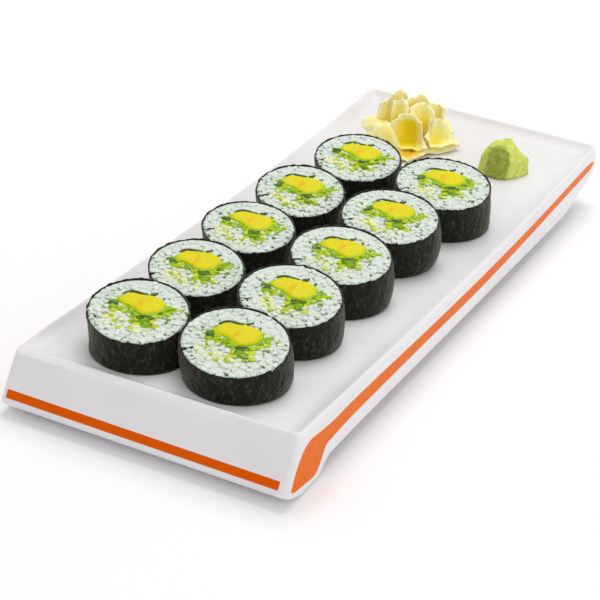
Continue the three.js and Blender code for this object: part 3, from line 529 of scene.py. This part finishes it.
def rice_material():
    n = Nodes("rice")
    plain = n.mix(n.value("shade"), (206, 216, 205), (220, 228, 216))
    return n.surface(
        Base_Color=n.mix(n.value("tint"), plain, (236, 238, 132)), Roughness=0.45,
        Specular_IOR_Level=0.35, Subsurface_Weight=0.12, Subsurface_Radius=(1.0, 1.0, 0.95),
        Subsurface_Scale=0.001, Normal=n.bump(n.noise(0.9, 2), 0.04, 0.5))


def avocado_material():
    n = Nodes("avocado")
    flesh = n.mix(n.ramp(n.noise(2.4, 4), 0.3, 0.7), (219, 203, 0), (221, 213, 8))
    flesh = n.mix(n.value("heart"), flesh, (226, 176, 10))
    edge = n.mix(n.ramp(n.noise(1.2, 3), 0.35, 0.65), (140, 180, 4), (190, 210, 14))
    return n.surface(
        Base_Color=n.mix(n.value("margin"), flesh, edge), Roughness=0.45,
        Specular_IOR_Level=0.12, Subsurface_Weight=0.2, Subsurface_Radius=(1.0, 0.8, 0.3),
        Subsurface_Scale=0.0015, Normal=n.bump(n.noise(0.9, 4), 0.08, 0.6))


def skin_material():
    n = Nodes("avocado_skin")
    return n.surface(Base_Color=n.mix(n.noise(0.8, 2), (44, 66, 20), (92, 112, 60)), Roughness=0.5)


def greens_material():
    n = Nodes("greens")
    shade = n.value("shade")
    leaf = n.mix(n.ramp(shade, 0.0, 0.5), (70, 110, 2), (146, 190, 8))
    leaf = n.mix(n.ramp(shade, 0.5, 1.0), leaf, (206, 222, 18))
    return n.surface(
        Base_Color=n.mix(n.ramp(n.noise(0.9, 3), 0.5, 0.8), leaf, (132, 172, 4)),
        Roughness=0.45, Specular_IOR_Level=0.25, Subsurface_Weight=0.15,
        Subsurface_Radius=(0.6, 1.0, 0.2), Subsurface_Scale=0.0012,
        Normal=n.bump(n.noise(0.6, 3), 0.08, 0.6))


def ginger_material():
    n = Nodes("ginger")
    fibre = n.noise(0.9, 3, 0.5, n.upright_fibres())
    pale = n.mix(n.ramp(fibre, 0.35, 0.7), (255, 243, 172), (255, 246, 190))
    # The root value is painted shade: deep yellow in the heap's hollows, and darker orange where it
    # passes 1.
    root = n.value("root")
    flesh = n.mix(root, pale, (255, 228, 8))
    flesh = n.mix(n.ramp(root, 1.0, 1.4), flesh, (228, 178, 20))
    return n.surface(
        Base_Color=n.mix(n.value("rim"), flesh, (255, 247, 196)), Roughness=0.38,
        Specular_IOR_Level=0.25, Subsurface_Weight=0.3, Subsurface_Radius=(1.0, 0.9, 0.5),
        Subsurface_Scale=0.002, Normal=n.bump(fibre, 0.04, 0.5))


def wasabi_material():
    n = Nodes("wasabi")
    crumb = n.noise(0.9, 5, 0.65)
    patch = n.ramp(n.noise(2.2, 4), 0.35, 0.65)
    tone = n.mix(patch, (194, 204, 78), (222, 227, 118))
    tone = n.mix(n.ramp(crumb, 0.56, 0.72), tone, (160, 170, 52))
    # Painted shade: the darker colour of the lump's front-left side.
    pressed = n.mix(patch, (142, 153, 44), (174, 183, 82))
    return n.surface(
        Base_Color=n.mix(n.value("pressed"), tone, pressed), Roughness=0.62,
        Specular_IOR_Level=0.3, Normal=n.bump(crumb, 0.3, 0.8))


# ---- tray ----
def rim_height(v):
    reach = np.where(v < RIM_LOW_V, RIM_FRONT_REACH, RIM_REAR_REACH)
    return RIM_LOW_Z + RIM_RISE * ((v - RIM_LOW_V) / reach) ** 2


def underside_height(v):
    sole_start, sole_end = SOLE_V
    toe = TOE_Z * (np.maximum(sole_start - v, 0) / (sole_start + FRONT_LEAN)) ** 1.5
    tail = UNDERSIDE_Z + TAIL_RISE * (np.maximum(v - TAIL_V, 0) / (TRAY_LENGTH - TAIL_V)) ** 1.3
    middle = UNDERSIDE_Z * smoothstep(v, sole_end, HEEL_V)
    return np.where(v < sole_start, toe, np.where(v > TAIL_V, tail, middle))


def tray_ring(inset, front_v, rear_inset, height_at):
    """Rounded rectangle, counter-clockwise from the front's middle, mirrored across."""
    radius = max(CORNER_RADIUS - inset, 2)
    side = TRAY_WIDTH / 2 - inset
    first, last = front_v + radius, TRAY_LENGTH - rear_inset - radius
    arc = np.radians(np.linspace(0, 90, 11))
    front = np.stack([side - radius + radius * np.sin(arc), first - radius * np.cos(arc)], 1)
    rear = np.stack([side - radius + radius * np.cos(arc), last + radius * np.sin(arc)], 1)
    v = np.concatenate([np.arange(-6, 34, 1.5), np.arange(36, 266, 5), np.arange(267, 303, 2.5)])
    order = np.arange(1, len(v) + 1)
    v = np.clip(v, first + 0.02 * order, last - 0.02 * (len(v) + 1 - order))
    across = np.append(np.linspace(0.0002, 0.94, 20), STRIPE_END) * (side - radius)
    right = np.vstack([
        np.stack([across, np.full(len(across), first - radius)], 1), front,
        np.stack([np.full(len(v), side), v], 1), rear,
        np.stack([across[::-1], np.full(len(across), last + radius)], 1),
    ])
    ring = np.vstack([right, (right * (-1, 1))[::-1]])
    return settled(raised(ring, height_at(ring[:, 1])))


def settled(ring):
    """Brings the front foot outward and forward, and the ring into the part's frame."""
    x, v, z = ring.T
    depth = np.clip((rim_height(v) - 0.5 - z) / rim_height(v), 0, 1)
    across = 2 * x / TRAY_WIDTH
    share = (1 + across) / 2
    flare = lerp(FOOT_FLARE, share) * (depth ** 0.25 * (1 - smoothstep(v, 2, FLARE_END_V)))
    forward = lerp(FOOT_FORWARD, share) * (depth ** 0.4 * (1 - smoothstep(v, *FORWARD_V)))
    rise = np.maximum((z - FLOOR_Z) / (rim_height(v) - FLOOR_Z), 0)
    dip = lerp(FRONT_DIP, share) * (rise * (1 - smoothstep(v, 2, FRONT_DIP_END_V)))
    return np.column_stack([x + across * flare, v - forward + FRONT_EDGE_Y, z - dip])


def corner_cut(rings, passes):
    """Rounds the section of stacked rings by cutting its corners."""
    for _ in range(passes):
        pair = rings[:-1], rings[1:]
        between = np.stack([lerp(pair, 0.25), lerp(pair, 0.75)], 1)
        rings = np.concatenate([rings[:1], between.reshape(-1, *rings.shape[1:]), rings[-1:]])
    return rings


def band_depth(points):
    """How far inside the orange bands a point of the tray's outside lies, negative outside
    them, and 1 where that band is the front's."""
    x, z = points[:, 0], points[:, 2]
    v = points[:, 1] - FRONT_EDGE_Y
    top_v, top_drop = smooth_loop(SIDE_BAND_TOP, 150, closed=False).T
    foot_v, foot_drop = smooth_loop(SIDE_BAND_FOOT, 150, closed=False).T
    top = CORNER_Z - np.interp(v, top_v, top_drop)
    foot = CORNER_Z - np.interp(v, foot_v, foot_drop)
    side = np.min([top - z, z - foot, v - top_v[0], top_v[-1] - v], axis=0)
    side = np.where(np.abs(x) > TRAY_WIDTH / 2 - 5, side, NO_BAND)
    low, high = FRONT_BAND_Z
    left, right = FRONT_BAND_X
    front = np.min([z - low, high - z, x - left, right - x], axis=0)
    front = np.where((v < -2.5) & (np.abs(x) < 62.5), front, NO_BAND)
    return np.maximum(side, front), (front > side).astype(float)


def tray():
    def under(lift):
        return lambda v: underside_height(v) + lift

    def rim(drop):
        return lambda v: rim_height(v) - drop

    def floor_to(share):
        return lambda v: FLOOR_Z + (rim_height(v) - FLOOR_Z) * share

    def wall(t):
        low = 2.6 * (1 - t)
        return lambda v: lerp((underside_height(v) + low, rim_height(v)), 0.9 * t)

    def front(t):
        back = max(t - 0.7, 0) / 0.3
        return 0.1 - FRONT_LEAN + t * (FRONT_LEAN - 0.7) + 0.5 * back ** 2

    rings = corner_cut(np.array([
        tray_ring(6, 6 - FRONT_LEAN, 6, under(0)),
        tray_ring(2.2, 1.8 - FRONT_LEAN, 2.2, under(0)),
        tray_ring(1.0, 0.8 - FRONT_LEAN, 1.0, under(0.3)),
        tray_ring(0.25, 0.2 - FRONT_LEAN, 0.3, under(1.1)),
        *(tray_ring(0, front(t), 0, wall(t)) for t in np.linspace(0, 1, 25)),
        tray_ring(0.6, 0.6, 0.4, rim(0.5)),
        tray_ring(1.5, 1.8, 1.4, rim(0)),
        tray_ring(3.4, 3.3, 3.2, floor_to(0.66)),
        tray_ring(6.0, 4.9, 7.6, floor_to(0.22)),
        tray_ring(9.0, 6.4, 14, floor_to(0)),
        tray_ring(12.0, 8.5, 18, floor_to(0)),
    ]), 2)
    count, around = rings.shape[:2]
    faces = grid_faces(count, around, wrap_columns=True)
    top = (count - 1) * around
    for k in range(around // 2 - 1):
        faces.append((k, around - 1 - k, around - 2 - k, k + 1))
        faces.append((top + k, top + k + 1, top + around - 2 - k, top + around - 1 - k))
    points = rings.reshape(-1, 3)
    band, is_front = band_depth(points)
    shape = Shape((0, 0, 0))
    shape.add(points, faces, band=band, front=is_front)
    shape.add(*foot_bar(), band=NO_BAND)
    shape.piece("tray_glazed", [GLAZE], ["tray"])


def foot_bar():
    """Bar under the tray's rear end, with a small round along its lower edge."""
    width, depth, radius, v = (REAR_FOOT[k] for k in ("width", "depth", "radius", "v"))
    levels = [(1.2, 0), (0.35, 0.35), (0, 1.2), (0, UNDERSIDE_Z + 2)]
    arc = 9
    angle = np.radians([start + k for start in (0, 90, 180, 270) for k in np.linspace(0, 90, arc)])
    corner = np.repeat([(1, 1), (-1, 1), (-1, -1), (1, -1)], arc, axis=0)
    middle = corner * (width / 2 - radius, depth / 2 - radius) + (0, v + FRONT_EDGE_Y)
    rings = [raised(middle + (radius - inset) * headings(angle), z) for inset, z in levels]
    return np.vstack(rings), tube_faces(len(levels), len(angle))


# ---- rolls ----
class Roll:
    """One roll's numbers, with the height of its slanted cut and its own random draws."""

    def __init__(self, numbers, seed):
        (self.name, place, self.height, self.turn, (self.radius, self.foot), self.swell,
         self.lean, self.slant) = numbers
        self.seed = seed
        self.centre = np.array([*place, FLOOR_Z + GAP / 2])
        self.random = np.random.default_rng(seed)

    def top(self, flat):
        return self.height + self.slant[0] * flat[..., 0] + self.slant[1] * flat[..., 1]

    def wall(self, inset, share, angle):
        """Ring of the wall at a share of its height, flat, this far inside the outside."""
        reach = self.foot + (self.radius - self.foot) * share - inset
        swell = self.swell * np.sin(np.pi * min(1, 0.12 + 0.88 * (1 - share)))
        return np.stack([self.lean[0] * (1 - share) + (reach + swell) * np.cos(angle),
                         self.lean[1] * (1 - share) + reach * ROLL_SQUASH * np.sin(angle)], -1)


def nori(roll):
    around = 300
    angle = circle(around)
    fold, crease = wrap_noise(roll.seed), wrap_noise(roll.seed + 1)
    ragged = 0.28 * fold(raised(9 * headings(angle), 0), 0.9)
    ragged += 0.22 * crease(raised(20 * headings(angle), 0), 1.1)
    rows = []
    for share in [0.0, 0.02, 0.05, *np.linspace(0.09, 1.0, 20)]:
        tuck = 0.5 * (1 - min(1, share / 0.06)) ** 2
        ring = roll.wall(tuck, share, angle)
        row = raised(ring, share * (roll.top(ring) + ragged))
        skew = row + 0.6 * row[:, 2:] * (1, -1, 0)
        wave = 0.22 * fold(row * (1, 1, 0.6), 5.0) + 0.2 * crease(skew * (1, 1, 0.5), 1.7)
        wave += 0.08 * fold(skew, 0.8)
        row[:, :2] *= (1 + wave * min(1, 8 * share * (1.15 - share)) / roll.radius)[:, None]
        rows.append(row)
    rim = rows[-1]
    for inset, drop in [(0.18, -0.08), (0.42, -0.06), (NORI_THICK, 0.12), (NORI_THICK, 3.0)]:
        rows.append(raised(rim[:, :2] * (1 - inset / roll.radius), rim[:, 2] - drop))
    rows.append(raised(roll.wall(NORI_THICK, 0.0, angle), 0))
    shape = Shape(roll.centre)
    shape.add(np.vstack(rows), grid_faces(len(rows), around, wrap_columns=True, wrap_rows=True))
    shape.add(*nori_flap(roll))
    shape.piece(f"nori_sheet_{roll.name}", [NORI], [f"nori_{roll.name}"])


def nori_flap(roll):
    """Inner end of the sheet, a thin wavy strip that shows as a dark line in the rice."""
    steps = 14
    angle = math.radians(NORI_FLAP["angle"] + roll.turn)
    across = np.array([-math.sin(angle), math.cos(angle)])
    insets = np.linspace(NORI_THICK + NORI_FLAP["reach"], 0.25, steps)
    sway = 0.35 * np.sin(np.linspace(0, 4.5, steps) + roll.seed)
    thick = NORI_FLAP["thick"] * np.linspace(0.35, 0.8, steps)
    rows = []
    for side, share in [(-1, 0), (1, 0), (1, 0.5), (1, 1), (-1, 1), (-1, 0.5)]:
        line = np.array([roll.wall(inset, share, angle) for inset in insets])
        flat = line + across * (sway + side * thick / 2)[:, None]
        rows.append(raised(flat, share * (roll.top(flat) + 0.45)))
    faces = flipped(grid_faces(len(rows), steps, wrap_rows=True))
    faces.append(tuple(k * steps for k in range(len(rows))))
    faces.append(tuple(k * steps + steps - 1 for k in reversed(range(len(rows)))))
    return np.vstack(rows), faces


def grain_form(seed):
    """One cooked grain: a plump rounded rod, a little bent, along X, unit length and width."""
    sides, rows = 10, 9
    t = np.linspace(-1, 1, rows)
    profile = (1 - np.abs(t) ** 2.6) ** 0.5
    bend = 0.16 * np.random.default_rng(seed).uniform(-1, 1)
    points = [(-0.5, 0, bend)]
    for k in range(1, rows - 1):
        for angle in circle(sides):
            points.append((t[k] / 2, 0.5 * profile[k] * math.cos(angle),
                           0.5 * profile[k] * math.sin(angle) + bend * t[k] ** 2))
    points.append((0.5, 0, bend))
    last = len(points) - 1
    ring = last - sides
    faces = [(0, 1 + (k + 1) % sides, 1 + k) for k in range(sides)]
    faces += flipped(grid_faces(rows - 2, sides, 1, wrap_columns=True))
    faces += [(last, ring + k, ring + (k + 1) % sides) for k in range(sides)]
    return np.array(points), faces


GRAIN_FORMS = [grain_form(seed) for seed in range(6)]


def grain_places(roll, filling):
    """Places in the cut face at least a spacing apart, on the rice or the filling's very edge."""
    kept = np.zeros((0, 2))
    for _ in range(GRAIN["tries"]):
        share = math.sqrt(roll.random.uniform())
        spot = share * roll.wall(RICE_INSET, 1, roll.random.uniform(0, 2 * math.pi))
        if len(kept) and np.sum((kept - spot) ** 2, axis=1).min() <= GRAIN["spacing"] ** 2:
            continue
        if not inside(spot, filling) or distance_to(spot[None], filling) < GRAIN["overhang"]:
            kept = np.vstack([kept, spot])
    return kept


def rice(roll):
    around = 120
    lumps = wrap_noise(roll.seed + 5)
    rows = []
    for share in [0.0, *np.linspace(0, 0.96, 9), 0.985]:
        ring = roll.wall(RICE_INSET + 0.1, share, circle(around))
        rows.append(raised(ring, share * roll.top(ring)))
    edge = rows[-1][:, :2]
    for scale in np.linspace(0.97, 0.03, 22):
        ring = edge * scale
        rows.append(raised(ring, roll.top(ring) - 0.2 + 0.16 * lumps(raised(ring, 0), 1.7)))
    rows[0] = rows[0] * (0.03, 0.03, 1)
    shape = Shape(roll.centre)
    shape.add(np.vstack(rows), tube_faces(len(rows), around), shade=0.35)
    for spot in grain_places(roll, smooth_loop(turned(FILLING, roll.turn), 200)):
        add_grain(shape, roll, spot)
    shape.piece(f"rice_grains_{roll.name}", [RICE], [f"rice_{roll.name}"])


def add_grain(shape, roll, spot):
    random = roll.random
    form, faces = GRAIN_FORMS[int(random.integers(len(GRAIN_FORMS)))]
    radius = np.linalg.norm(spot)
    length = GRAIN["length"] * random.uniform(0.72, 1.05)
    width = GRAIN["width"] * random.uniform(0.9, 1.15)
    heading = random.uniform(0, math.pi)
    tilt = math.radians(random.normal(0, 9))
    bearing = math.atan2(spot[1], spot[0])
    room = np.linalg.norm(roll.wall(RICE_INSET, 1, bearing)) - 0.15 - radius
    if room < length / 2:
        heading = bearing + math.pi / 2 + random.normal(0, 0.3)
        spot = spot * (1 - max(0, width / 2 - 0.35 - room) / radius)
    body = spun(form * (length, width, width), heading, tilt, random.uniform(0, 6.28))
    back = smoothstep(spot[1] / roll.radius, -0.1, 0.6)
    sink = 0.66 + 0.2 * back + random.normal(0, 0.09)
    place = np.array([*spot, roll.top(spot) - sink])
    local = turned([spot], -roll.turn)[0]
    stain = sum(most * max(0, 1 - np.linalg.norm((local - middle) / reach) ** 2)
                for most, middle, reach in RICE_STAINS)
    tint = min(1, stain * random.uniform(0.3, 1.3))
    shape.add(body * (1, 1, 0.75) + place, faces, shade=random.uniform(0, 1), tint=tint)


def avocado(roll):
    count = 120
    loop = smooth_loop(turned(AVOCADO, roll.turn), count)
    middle = turned([AVOCADO_MIDDLE], roll.turn)[0]
    relief = wrap_noise(roll.seed + 9)
    rows = []
    for scale in np.linspace(0.03, 1, 20):
        flat = middle + (loop - middle) * scale
        lift = 0.75 - 0.75 * scale ** 7 + 0.18 * relief(raised(flat, 0), 3)
        lift += 0.06 * relief(raised(flat, 0), 0.9)
        rows.append(raised(flat, roll.top(flat) + lift))
    edge = rows[-1]
    rows += [edge - (0, 0, 0.8), raised(edge[:, :2], 0.05),
             raised(middle + (edge[:, :2] - middle) * 0.03, 0.05)]
    points = np.vstack(rows)
    margin, heart = avocado_tones(turned(points[:, :2], -roll.turn))
    shape = Shape(roll.centre)
    shape.add(points, flipped(tube_faces(len(rows), count)), margin=margin, heart=heart)
    for line, radius in SKIN_LINES:
        course = smooth_loop(turned(line, roll.turn), 50, closed=False)
        shape.add(*thin_line(roll, course, radius), slot=1)
    shape.piece(f"avocado_strip_{roll.name}", [AVOCADO_FLESH, SKIN],
                [f"avocado_{roll.name}"])


def avocado_tones(flat):
    """Shares of the green margin, wider below and at both tips, and of the deep heart."""
    x, y = flat.T
    near = distance_to(flat, smooth_loop(AVOCADO, 120))
    lower = smoothstep(x * 0.45 - y, -5.5, -0.5)
    margin = np.clip(1 - near / (0.5 + 1.5 * lower), 0, 1)
    left_tip = smoothstep(-x, 8.4, 10.6)
    right_tip = smoothstep(x + 0.3 * y, 7.4, 10.2)
    heart = np.exp(-((x + 1.5) / 1.0) ** 2 - ((y - 3.5) / 3.0) ** 2)
    return np.clip(margin + 0.8 * left_tip + 0.7 * right_tip, 0, 1), heart


def thin_line(roll, line, radius):
    """Thin rounded cord lying on the cut, its ends tapered."""
    sides = 8
    angle = circle(sides)
    ahead = np.gradient(line, axis=0)
    ahead /= np.linalg.norm(ahead, axis=1, keepdims=True)
    across = np.column_stack([-ahead[:, 1], ahead[:, 0]])
    share = np.linspace(0, 1, len(line))
    thick = radius * np.clip(np.minimum(share, 1 - share) * 9, 0.12, 1)
    rows = [raised(line[k] + across[k] * (thick[k] * np.cos(angle))[:, None],
                   roll.top(line[k]) + 0.25 + 1.6 * thick[k] * np.sin(angle))
            for k in range(len(line))]
    return np.vstack(rows), flipped(tube_faces(len(line), sides))


def shred(random, length, width, thick):
    """Bent strip of leaf or peel with rounded ends, its middle at the origin."""
    rows, columns = 7, 5
    arch = random.uniform(-0.2, 0.2) * length
    twist = random.uniform(-0.35, 0.35)
    points = []
    for side in (-0.5, 0.5):
        for t in np.linspace(-1, 1, rows):
            half = width / 2 * (1 - 0.75 * abs(t) ** 3)
            for s in np.linspace(-1, 1, columns):
                y = s * half
                z = (twist * t * y + arch * 0.5 * t ** 2 + 0.15 * width * math.sin(3 * s)
                     + side * thick * (1 - 0.5 * s * s))
                points.append((t * length / 2, y + arch * 0.35 * t ** 2, z))
    return np.array(points), sheet_faces(rows, columns)


def greens_core(roll, region):
    """Solid bed under the shreds, out to the filling's edge as seen from its centre."""
    around = 120
    lumps = wrap_noise(roll.seed + 13)
    angle = circle(around)
    x, y = (region - FILLING_CENTRE).T
    limit = np.interp(angle, np.arctan2(y, x), np.hypot(x, y), period=2 * np.pi) - 0.2

    def ring(share):
        return FILLING_CENTRE + headings(angle) * (limit * share)[:, None]

    rows = [raised(ring(share), 0.1) for share in (0.03, 1)]
    for share in np.linspace(1, 0.03, 16):
        flat = ring(share)
        rows.append(raised(flat, roll.top(flat) - 0.5 + 0.3 * lumps(raised(flat, 0), 1.3)))
    points = np.vstack(rows)
    return points, tube_faces(len(rows), around), 0.45 + 0.35 * lumps(points + 40, 1.1)


def greens_pieces(roll, region):
    """Place, length, width, heading, tone and lift of each shred of one roll."""
    random, turn = roll.random, roll.turn
    flesh = smooth_loop(turned(AVOCADO, turn), 120)
    pieces = []
    while len(pieces) < LOOSE_SHREDS:
        spot = random.uniform((-13, -11), (13, 11))
        if inside(spot, region) and not inside(spot, flesh):
            pieces.append((spot, *random.uniform((1.6, 1.0), (3.6, 1.8)), random.uniform(0, 180),
                           np.clip(random.normal(0.72, 0.25), 0, 1), -0.2))
    for x, y, length, width, heading, tone in GREEN_PIECES:
        spot = turned([(x, y) + random.normal(0, 0.25, 2)], turn)[0]
        pieces.append((spot, *((length, width) * random.uniform(0.9, 1.1, 2)),
                       heading + turn + random.normal(0, 10), tone, 0.15))
    for spot in turned(SPECKS, turn):
        pieces.append((spot, *random.uniform((0.9, 0.6), (1.9, 1.0)), random.uniform(0, 180),
                       0.0, 0.2))
    return pieces


def greens(roll):
    region = smooth_loop(turned(FILLING, roll.turn), 200)
    points, faces, shade = greens_core(roll, region)
    shape = Shape(roll.centre)
    shape.add(points, faces, shade=shade)
    for spot, length, width, heading, tone, lift in greens_pieces(roll, region):
        body, faces = shred(roll.random, length, width, 0.6)
        body = spun(body, math.radians(heading), roll.random.normal(0, 0.15),
                    roll.random.normal(0, 0.25))
        place = np.array([*spot, roll.top(spot) + lift + roll.random.uniform(-0.15, 0.15)])
        shape.add(body + place, faces, shade=tone)
    shape.piece(f"greens_shreds_{roll.name}", [GREENS], [f"greens_{roll.name}"])


# ---- ginger ----
def bent_sheet(net, rows, columns):
    """Points of a smooth sheet through a net of four by four points."""
    across = np.stack([smooth_loop(row, columns, closed=False) for row in net])
    return np.stack([smooth_loop(across[:, k], rows, closed=False) for k in range(columns)], 1)


def torn(sheet, random):
    """The same sheet with its free end a little uneven."""
    rows, columns = sheet.shape[:2]
    t = np.linspace(0, 1, columns)
    phase = random.uniform(0, 6.28, 3)
    reach = 0.97 + 0.05 * np.sin(phase[0] + 7 * t) + 0.035 * np.sin(phase[1] + 16 * t)
    at = np.linspace(0, 1, rows)[:, None] ** 0.9 * np.minimum(reach, 1) * (rows - 1)
    low = np.minimum(at.astype(int), rows - 2)
    column = np.arange(columns)[None]
    return lerp((sheet[low, column], sheet[low + 1, column]), (at - low)[..., None])


def ginger_slice(net, random, name):
    """Points and faces of a slice, with each point's share of the deep yellow painted as shade in the
    heap's hollows, and of the pale tone.
    """
    rows, columns = 30, 40
    sheet = torn(bent_sheet(net, rows, columns), random)
    along, over = np.gradient(sheet, axis=(0, 1))
    normal = np.cross(over, along)
    normal /= np.linalg.norm(normal, axis=2, keepdims=True)
    s = np.linspace(0, 1, rows)[:, None]
    t = np.linspace(-1, 1, columns)[None]
    rim = np.maximum(np.abs(t), 2 * np.abs(s - 0.5)) ** 5
    phase = random.uniform(0, 6.28, 4)
    ruffle = 0.6 * np.sin(phase[0] + 4 * t + 2.5 * s) * (0.35 + 0.65 * rim)
    ruffle += 0.4 * rim * np.sin(phase[1] + 9 * t + 7 * s)
    ruffle += 0.12 * np.sin(phase[2] + 13 * t + 3 * np.sin(phase[3] + 4 * s))
    thick = GINGER["thick"] * (1 - 0.4 * rim)
    points = [(sheet + normal * (ruffle + side * thick)[..., None]).reshape(-1, 3)
              for side in (-0.5, 0.5)]
    # Painted shade: deeper yellow toward each slice's inner end and middle, most in the front cup's
    # hollow and under the front base.
    deep = (s if "base" in name else 1 - s) * (1 - 0.75 * np.abs(t) ** 1.5)
    if name == "front_cup":
        deep = 1.25 * np.exp(-((s - 0.42) / 0.4) ** 2) * (1 - np.abs(t) ** 2.5)
        rim = np.maximum(np.abs(t) ** 3, smoothstep(s, 0.76, 0.9))
    if name == "front_base":
        deep = 1.9 * np.exp(-((s - 0.38) / 0.48) ** 2) * (1 - 0.25 * t ** 2)
    return (np.vstack(points), sheet_faces(rows, columns), np.tile(deep.ravel(), 2),
            np.tile(rim.ravel(), 2))


def ginger_core():
    around, lumps = 48, wrap_noise(21)
    angle = circle(around)
    size = np.array([GINGER_CORE["width"], GINGER_CORE["depth"]])
    rows = []
    for share, level, shift in GINGER_CORE_LEVELS:
        lobe = share * (1 + 0.07 * np.sin(3 * angle + 6 * level)) / 2
        ring = raised(size * lobe[:, None] * headings(angle), level * GINGER_CORE["height"])
        ring[:, :2] *= (1 + 0.08 * lumps(ring, 4))[:, None]
        rows.append(ring + (*GINGER_CORE["middle"], 0) + (0, shift, 0))
    points = np.vstack(rows)
    # The hidden lump gets the full painted shade.
    return points, tube_faces(len(rows), around), np.ones(len(points)), np.zeros(len(points))


def ginger():
    shape = Shape((GINGER["x"], GINGER["y"], FLOOR_Z + GAP / 2))
    random = np.random.default_rng(5)
    bodies = [ginger_slice(net, random, name) for name, net in GINGER_SLICES.items()]
    for body, faces, deep, rim in [*bodies, ginger_core()]:
        body[:, 2] = np.maximum(body[:, 2], 0.05)
        # Painted shade: the deep yellow grows toward the heap's middle, and past 1 it turns to the
        # darker orange.
        shell = np.linalg.norm((body - (-0.5, -1, 2)) / (23, 19, 21), axis=1)
        root = np.clip(0.8 * deep + 0.4 * (1 - smoothstep(shell, 0.45, 0.95)), 0, 1)
        root += np.maximum(deep - 1.3, 0)
        body[:, :2] = turned(body[:, :2], GINGER["turn"])
        shape.add(body, faces, root=root, rim=rim)
    shape.piece("ginger_slices", [GINGER_FLESH], ["ginger"])


# ---- wasabi ----
def wasabi():
    around, levels = 160, 60
    rings = [creased_loop(ring, around) for ring in WASABI_RINGS]
    lumps, crumbs = wrap_noise(31), wrap_noise(32)
    top = np.array(WASABI_TOP)
    stack = np.stack([*rings, *(lerp((top, rings[-1]), share) for share in (0.45, 0.02))])
    columns = [creased_loop(stack[:, k], levels, closed=False) for k in range(around)]
    points = np.stack(columns, 1).reshape(-1, 3)
    outward = points - (-1, 0, 5)
    outward /= np.linalg.norm(outward, axis=1, keepdims=True)
    relief = 0.35 * lumps(points, 3.2) + 0.3 * lumps(points + 9, 1.5) + 0.2 * crumbs(points, 0.8)
    points += outward * relief[:, None]
    points[:, 2] = np.maximum(points[:, 2], 0)
    corner = np.arange(around) / around * len(WASABI_RINGS[0])
    start, end = WASABI_CUT
    # Painted shade: cut marks the lump's front-left side, darker low down and fading out below the
    # top.
    cut = smoothstep(corner, *start) * (1 - smoothstep(corner, *end))
    pressed = np.outer(1 - smoothstep(np.arange(levels), 0.72 * levels, 0.78 * levels), cut)
    points[:, :2] = turned(points[:, :2], GINGER["turn"])
    shape = Shape((WASABI["x"], WASABI["y"], FLOOR_Z + GAP / 2))
    shape.add(points, tube_faces(levels, around), pressed=pressed.ravel())
    shape.piece("wasabi_lump", [WASABI_PASTE], ["wasabi"])


# ---- studio ----
def camera():
    data = bpy.data.cameras.new("camera")
    data.lens = CAMERA_LENS
    data.clip_end = 20
    made = placed("camera", data)
    made.matrix_world = Matrix.Translation(Vector(CAMERA_PLACE - BOX_MIDDLE) * MM)
    for degrees, axis in [(CAMERA_AZIMUTH, "Z"), (90 - CAMERA_ELEVATION, "X"), (CAMERA_ROLL, "Z")]:
        made.matrix_world @= Matrix.Rotation(math.radians(degrees), 4, axis)
    bpy.context.scene.camera = made


def softbox(name, place, size, power):
    """Square light that faces the origin."""
    data = bpy.data.lights.new(name, "AREA")
    data.size = size
    data.energy = power
    made = placed(name, data)
    made.location = Vector(place)
    made.rotation_euler = (-Vector(place)).to_track_quat("-Z", "Y").to_euler()


def studio():
    scene = bpy.context.scene
    scene.view_settings.view_transform = "Standard"
    world = bpy.data.worlds.new("studio")
    scene.world = world
    world.use_nodes = True
    background = world.node_tree.nodes["Background"]
    background.inputs["Color"].default_value = (1, 1, 1, 1)
    background.inputs["Strength"].default_value = WORLD_LIGHT
    softbox("key", **KEY_LIGHT)
    softbox("fill", **FILL_LIGHT)
    mesh = bpy.data.meshes.new("floor")
    corners = [(x * FLOOR_HALF, y * FLOOR_HALF, 0) for x, y in [(-1, -1), (1, -1), (1, 1), (-1, 1)]]
    mesh.from_pydata(corners, [], [(0, 1, 2, 3)])
    mesh.materials.append(Nodes("pale_floor").surface(Base_Color=colour(248, 247, 249), Roughness=0.6))
    floor = placed("floor", mesh)


GLAZE = glaze_material()
NORI = nori_material()
RICE = rice_material()
AVOCADO_FLESH = avocado_material()
SKIN = skin_material()
GREENS = greens_material()
GINGER_FLESH = ginger_material()
WASABI_PASTE = wasabi_material()

camera()
studio()
tray()
for number, numbers in enumerate(ROLLS):
    roll_here = Roll(numbers, 100 + 20 * number)
    nori(roll_here)
    rice(roll_here)
    avocado(roll_here)
    greens(roll_here)
ginger()
wasabi()
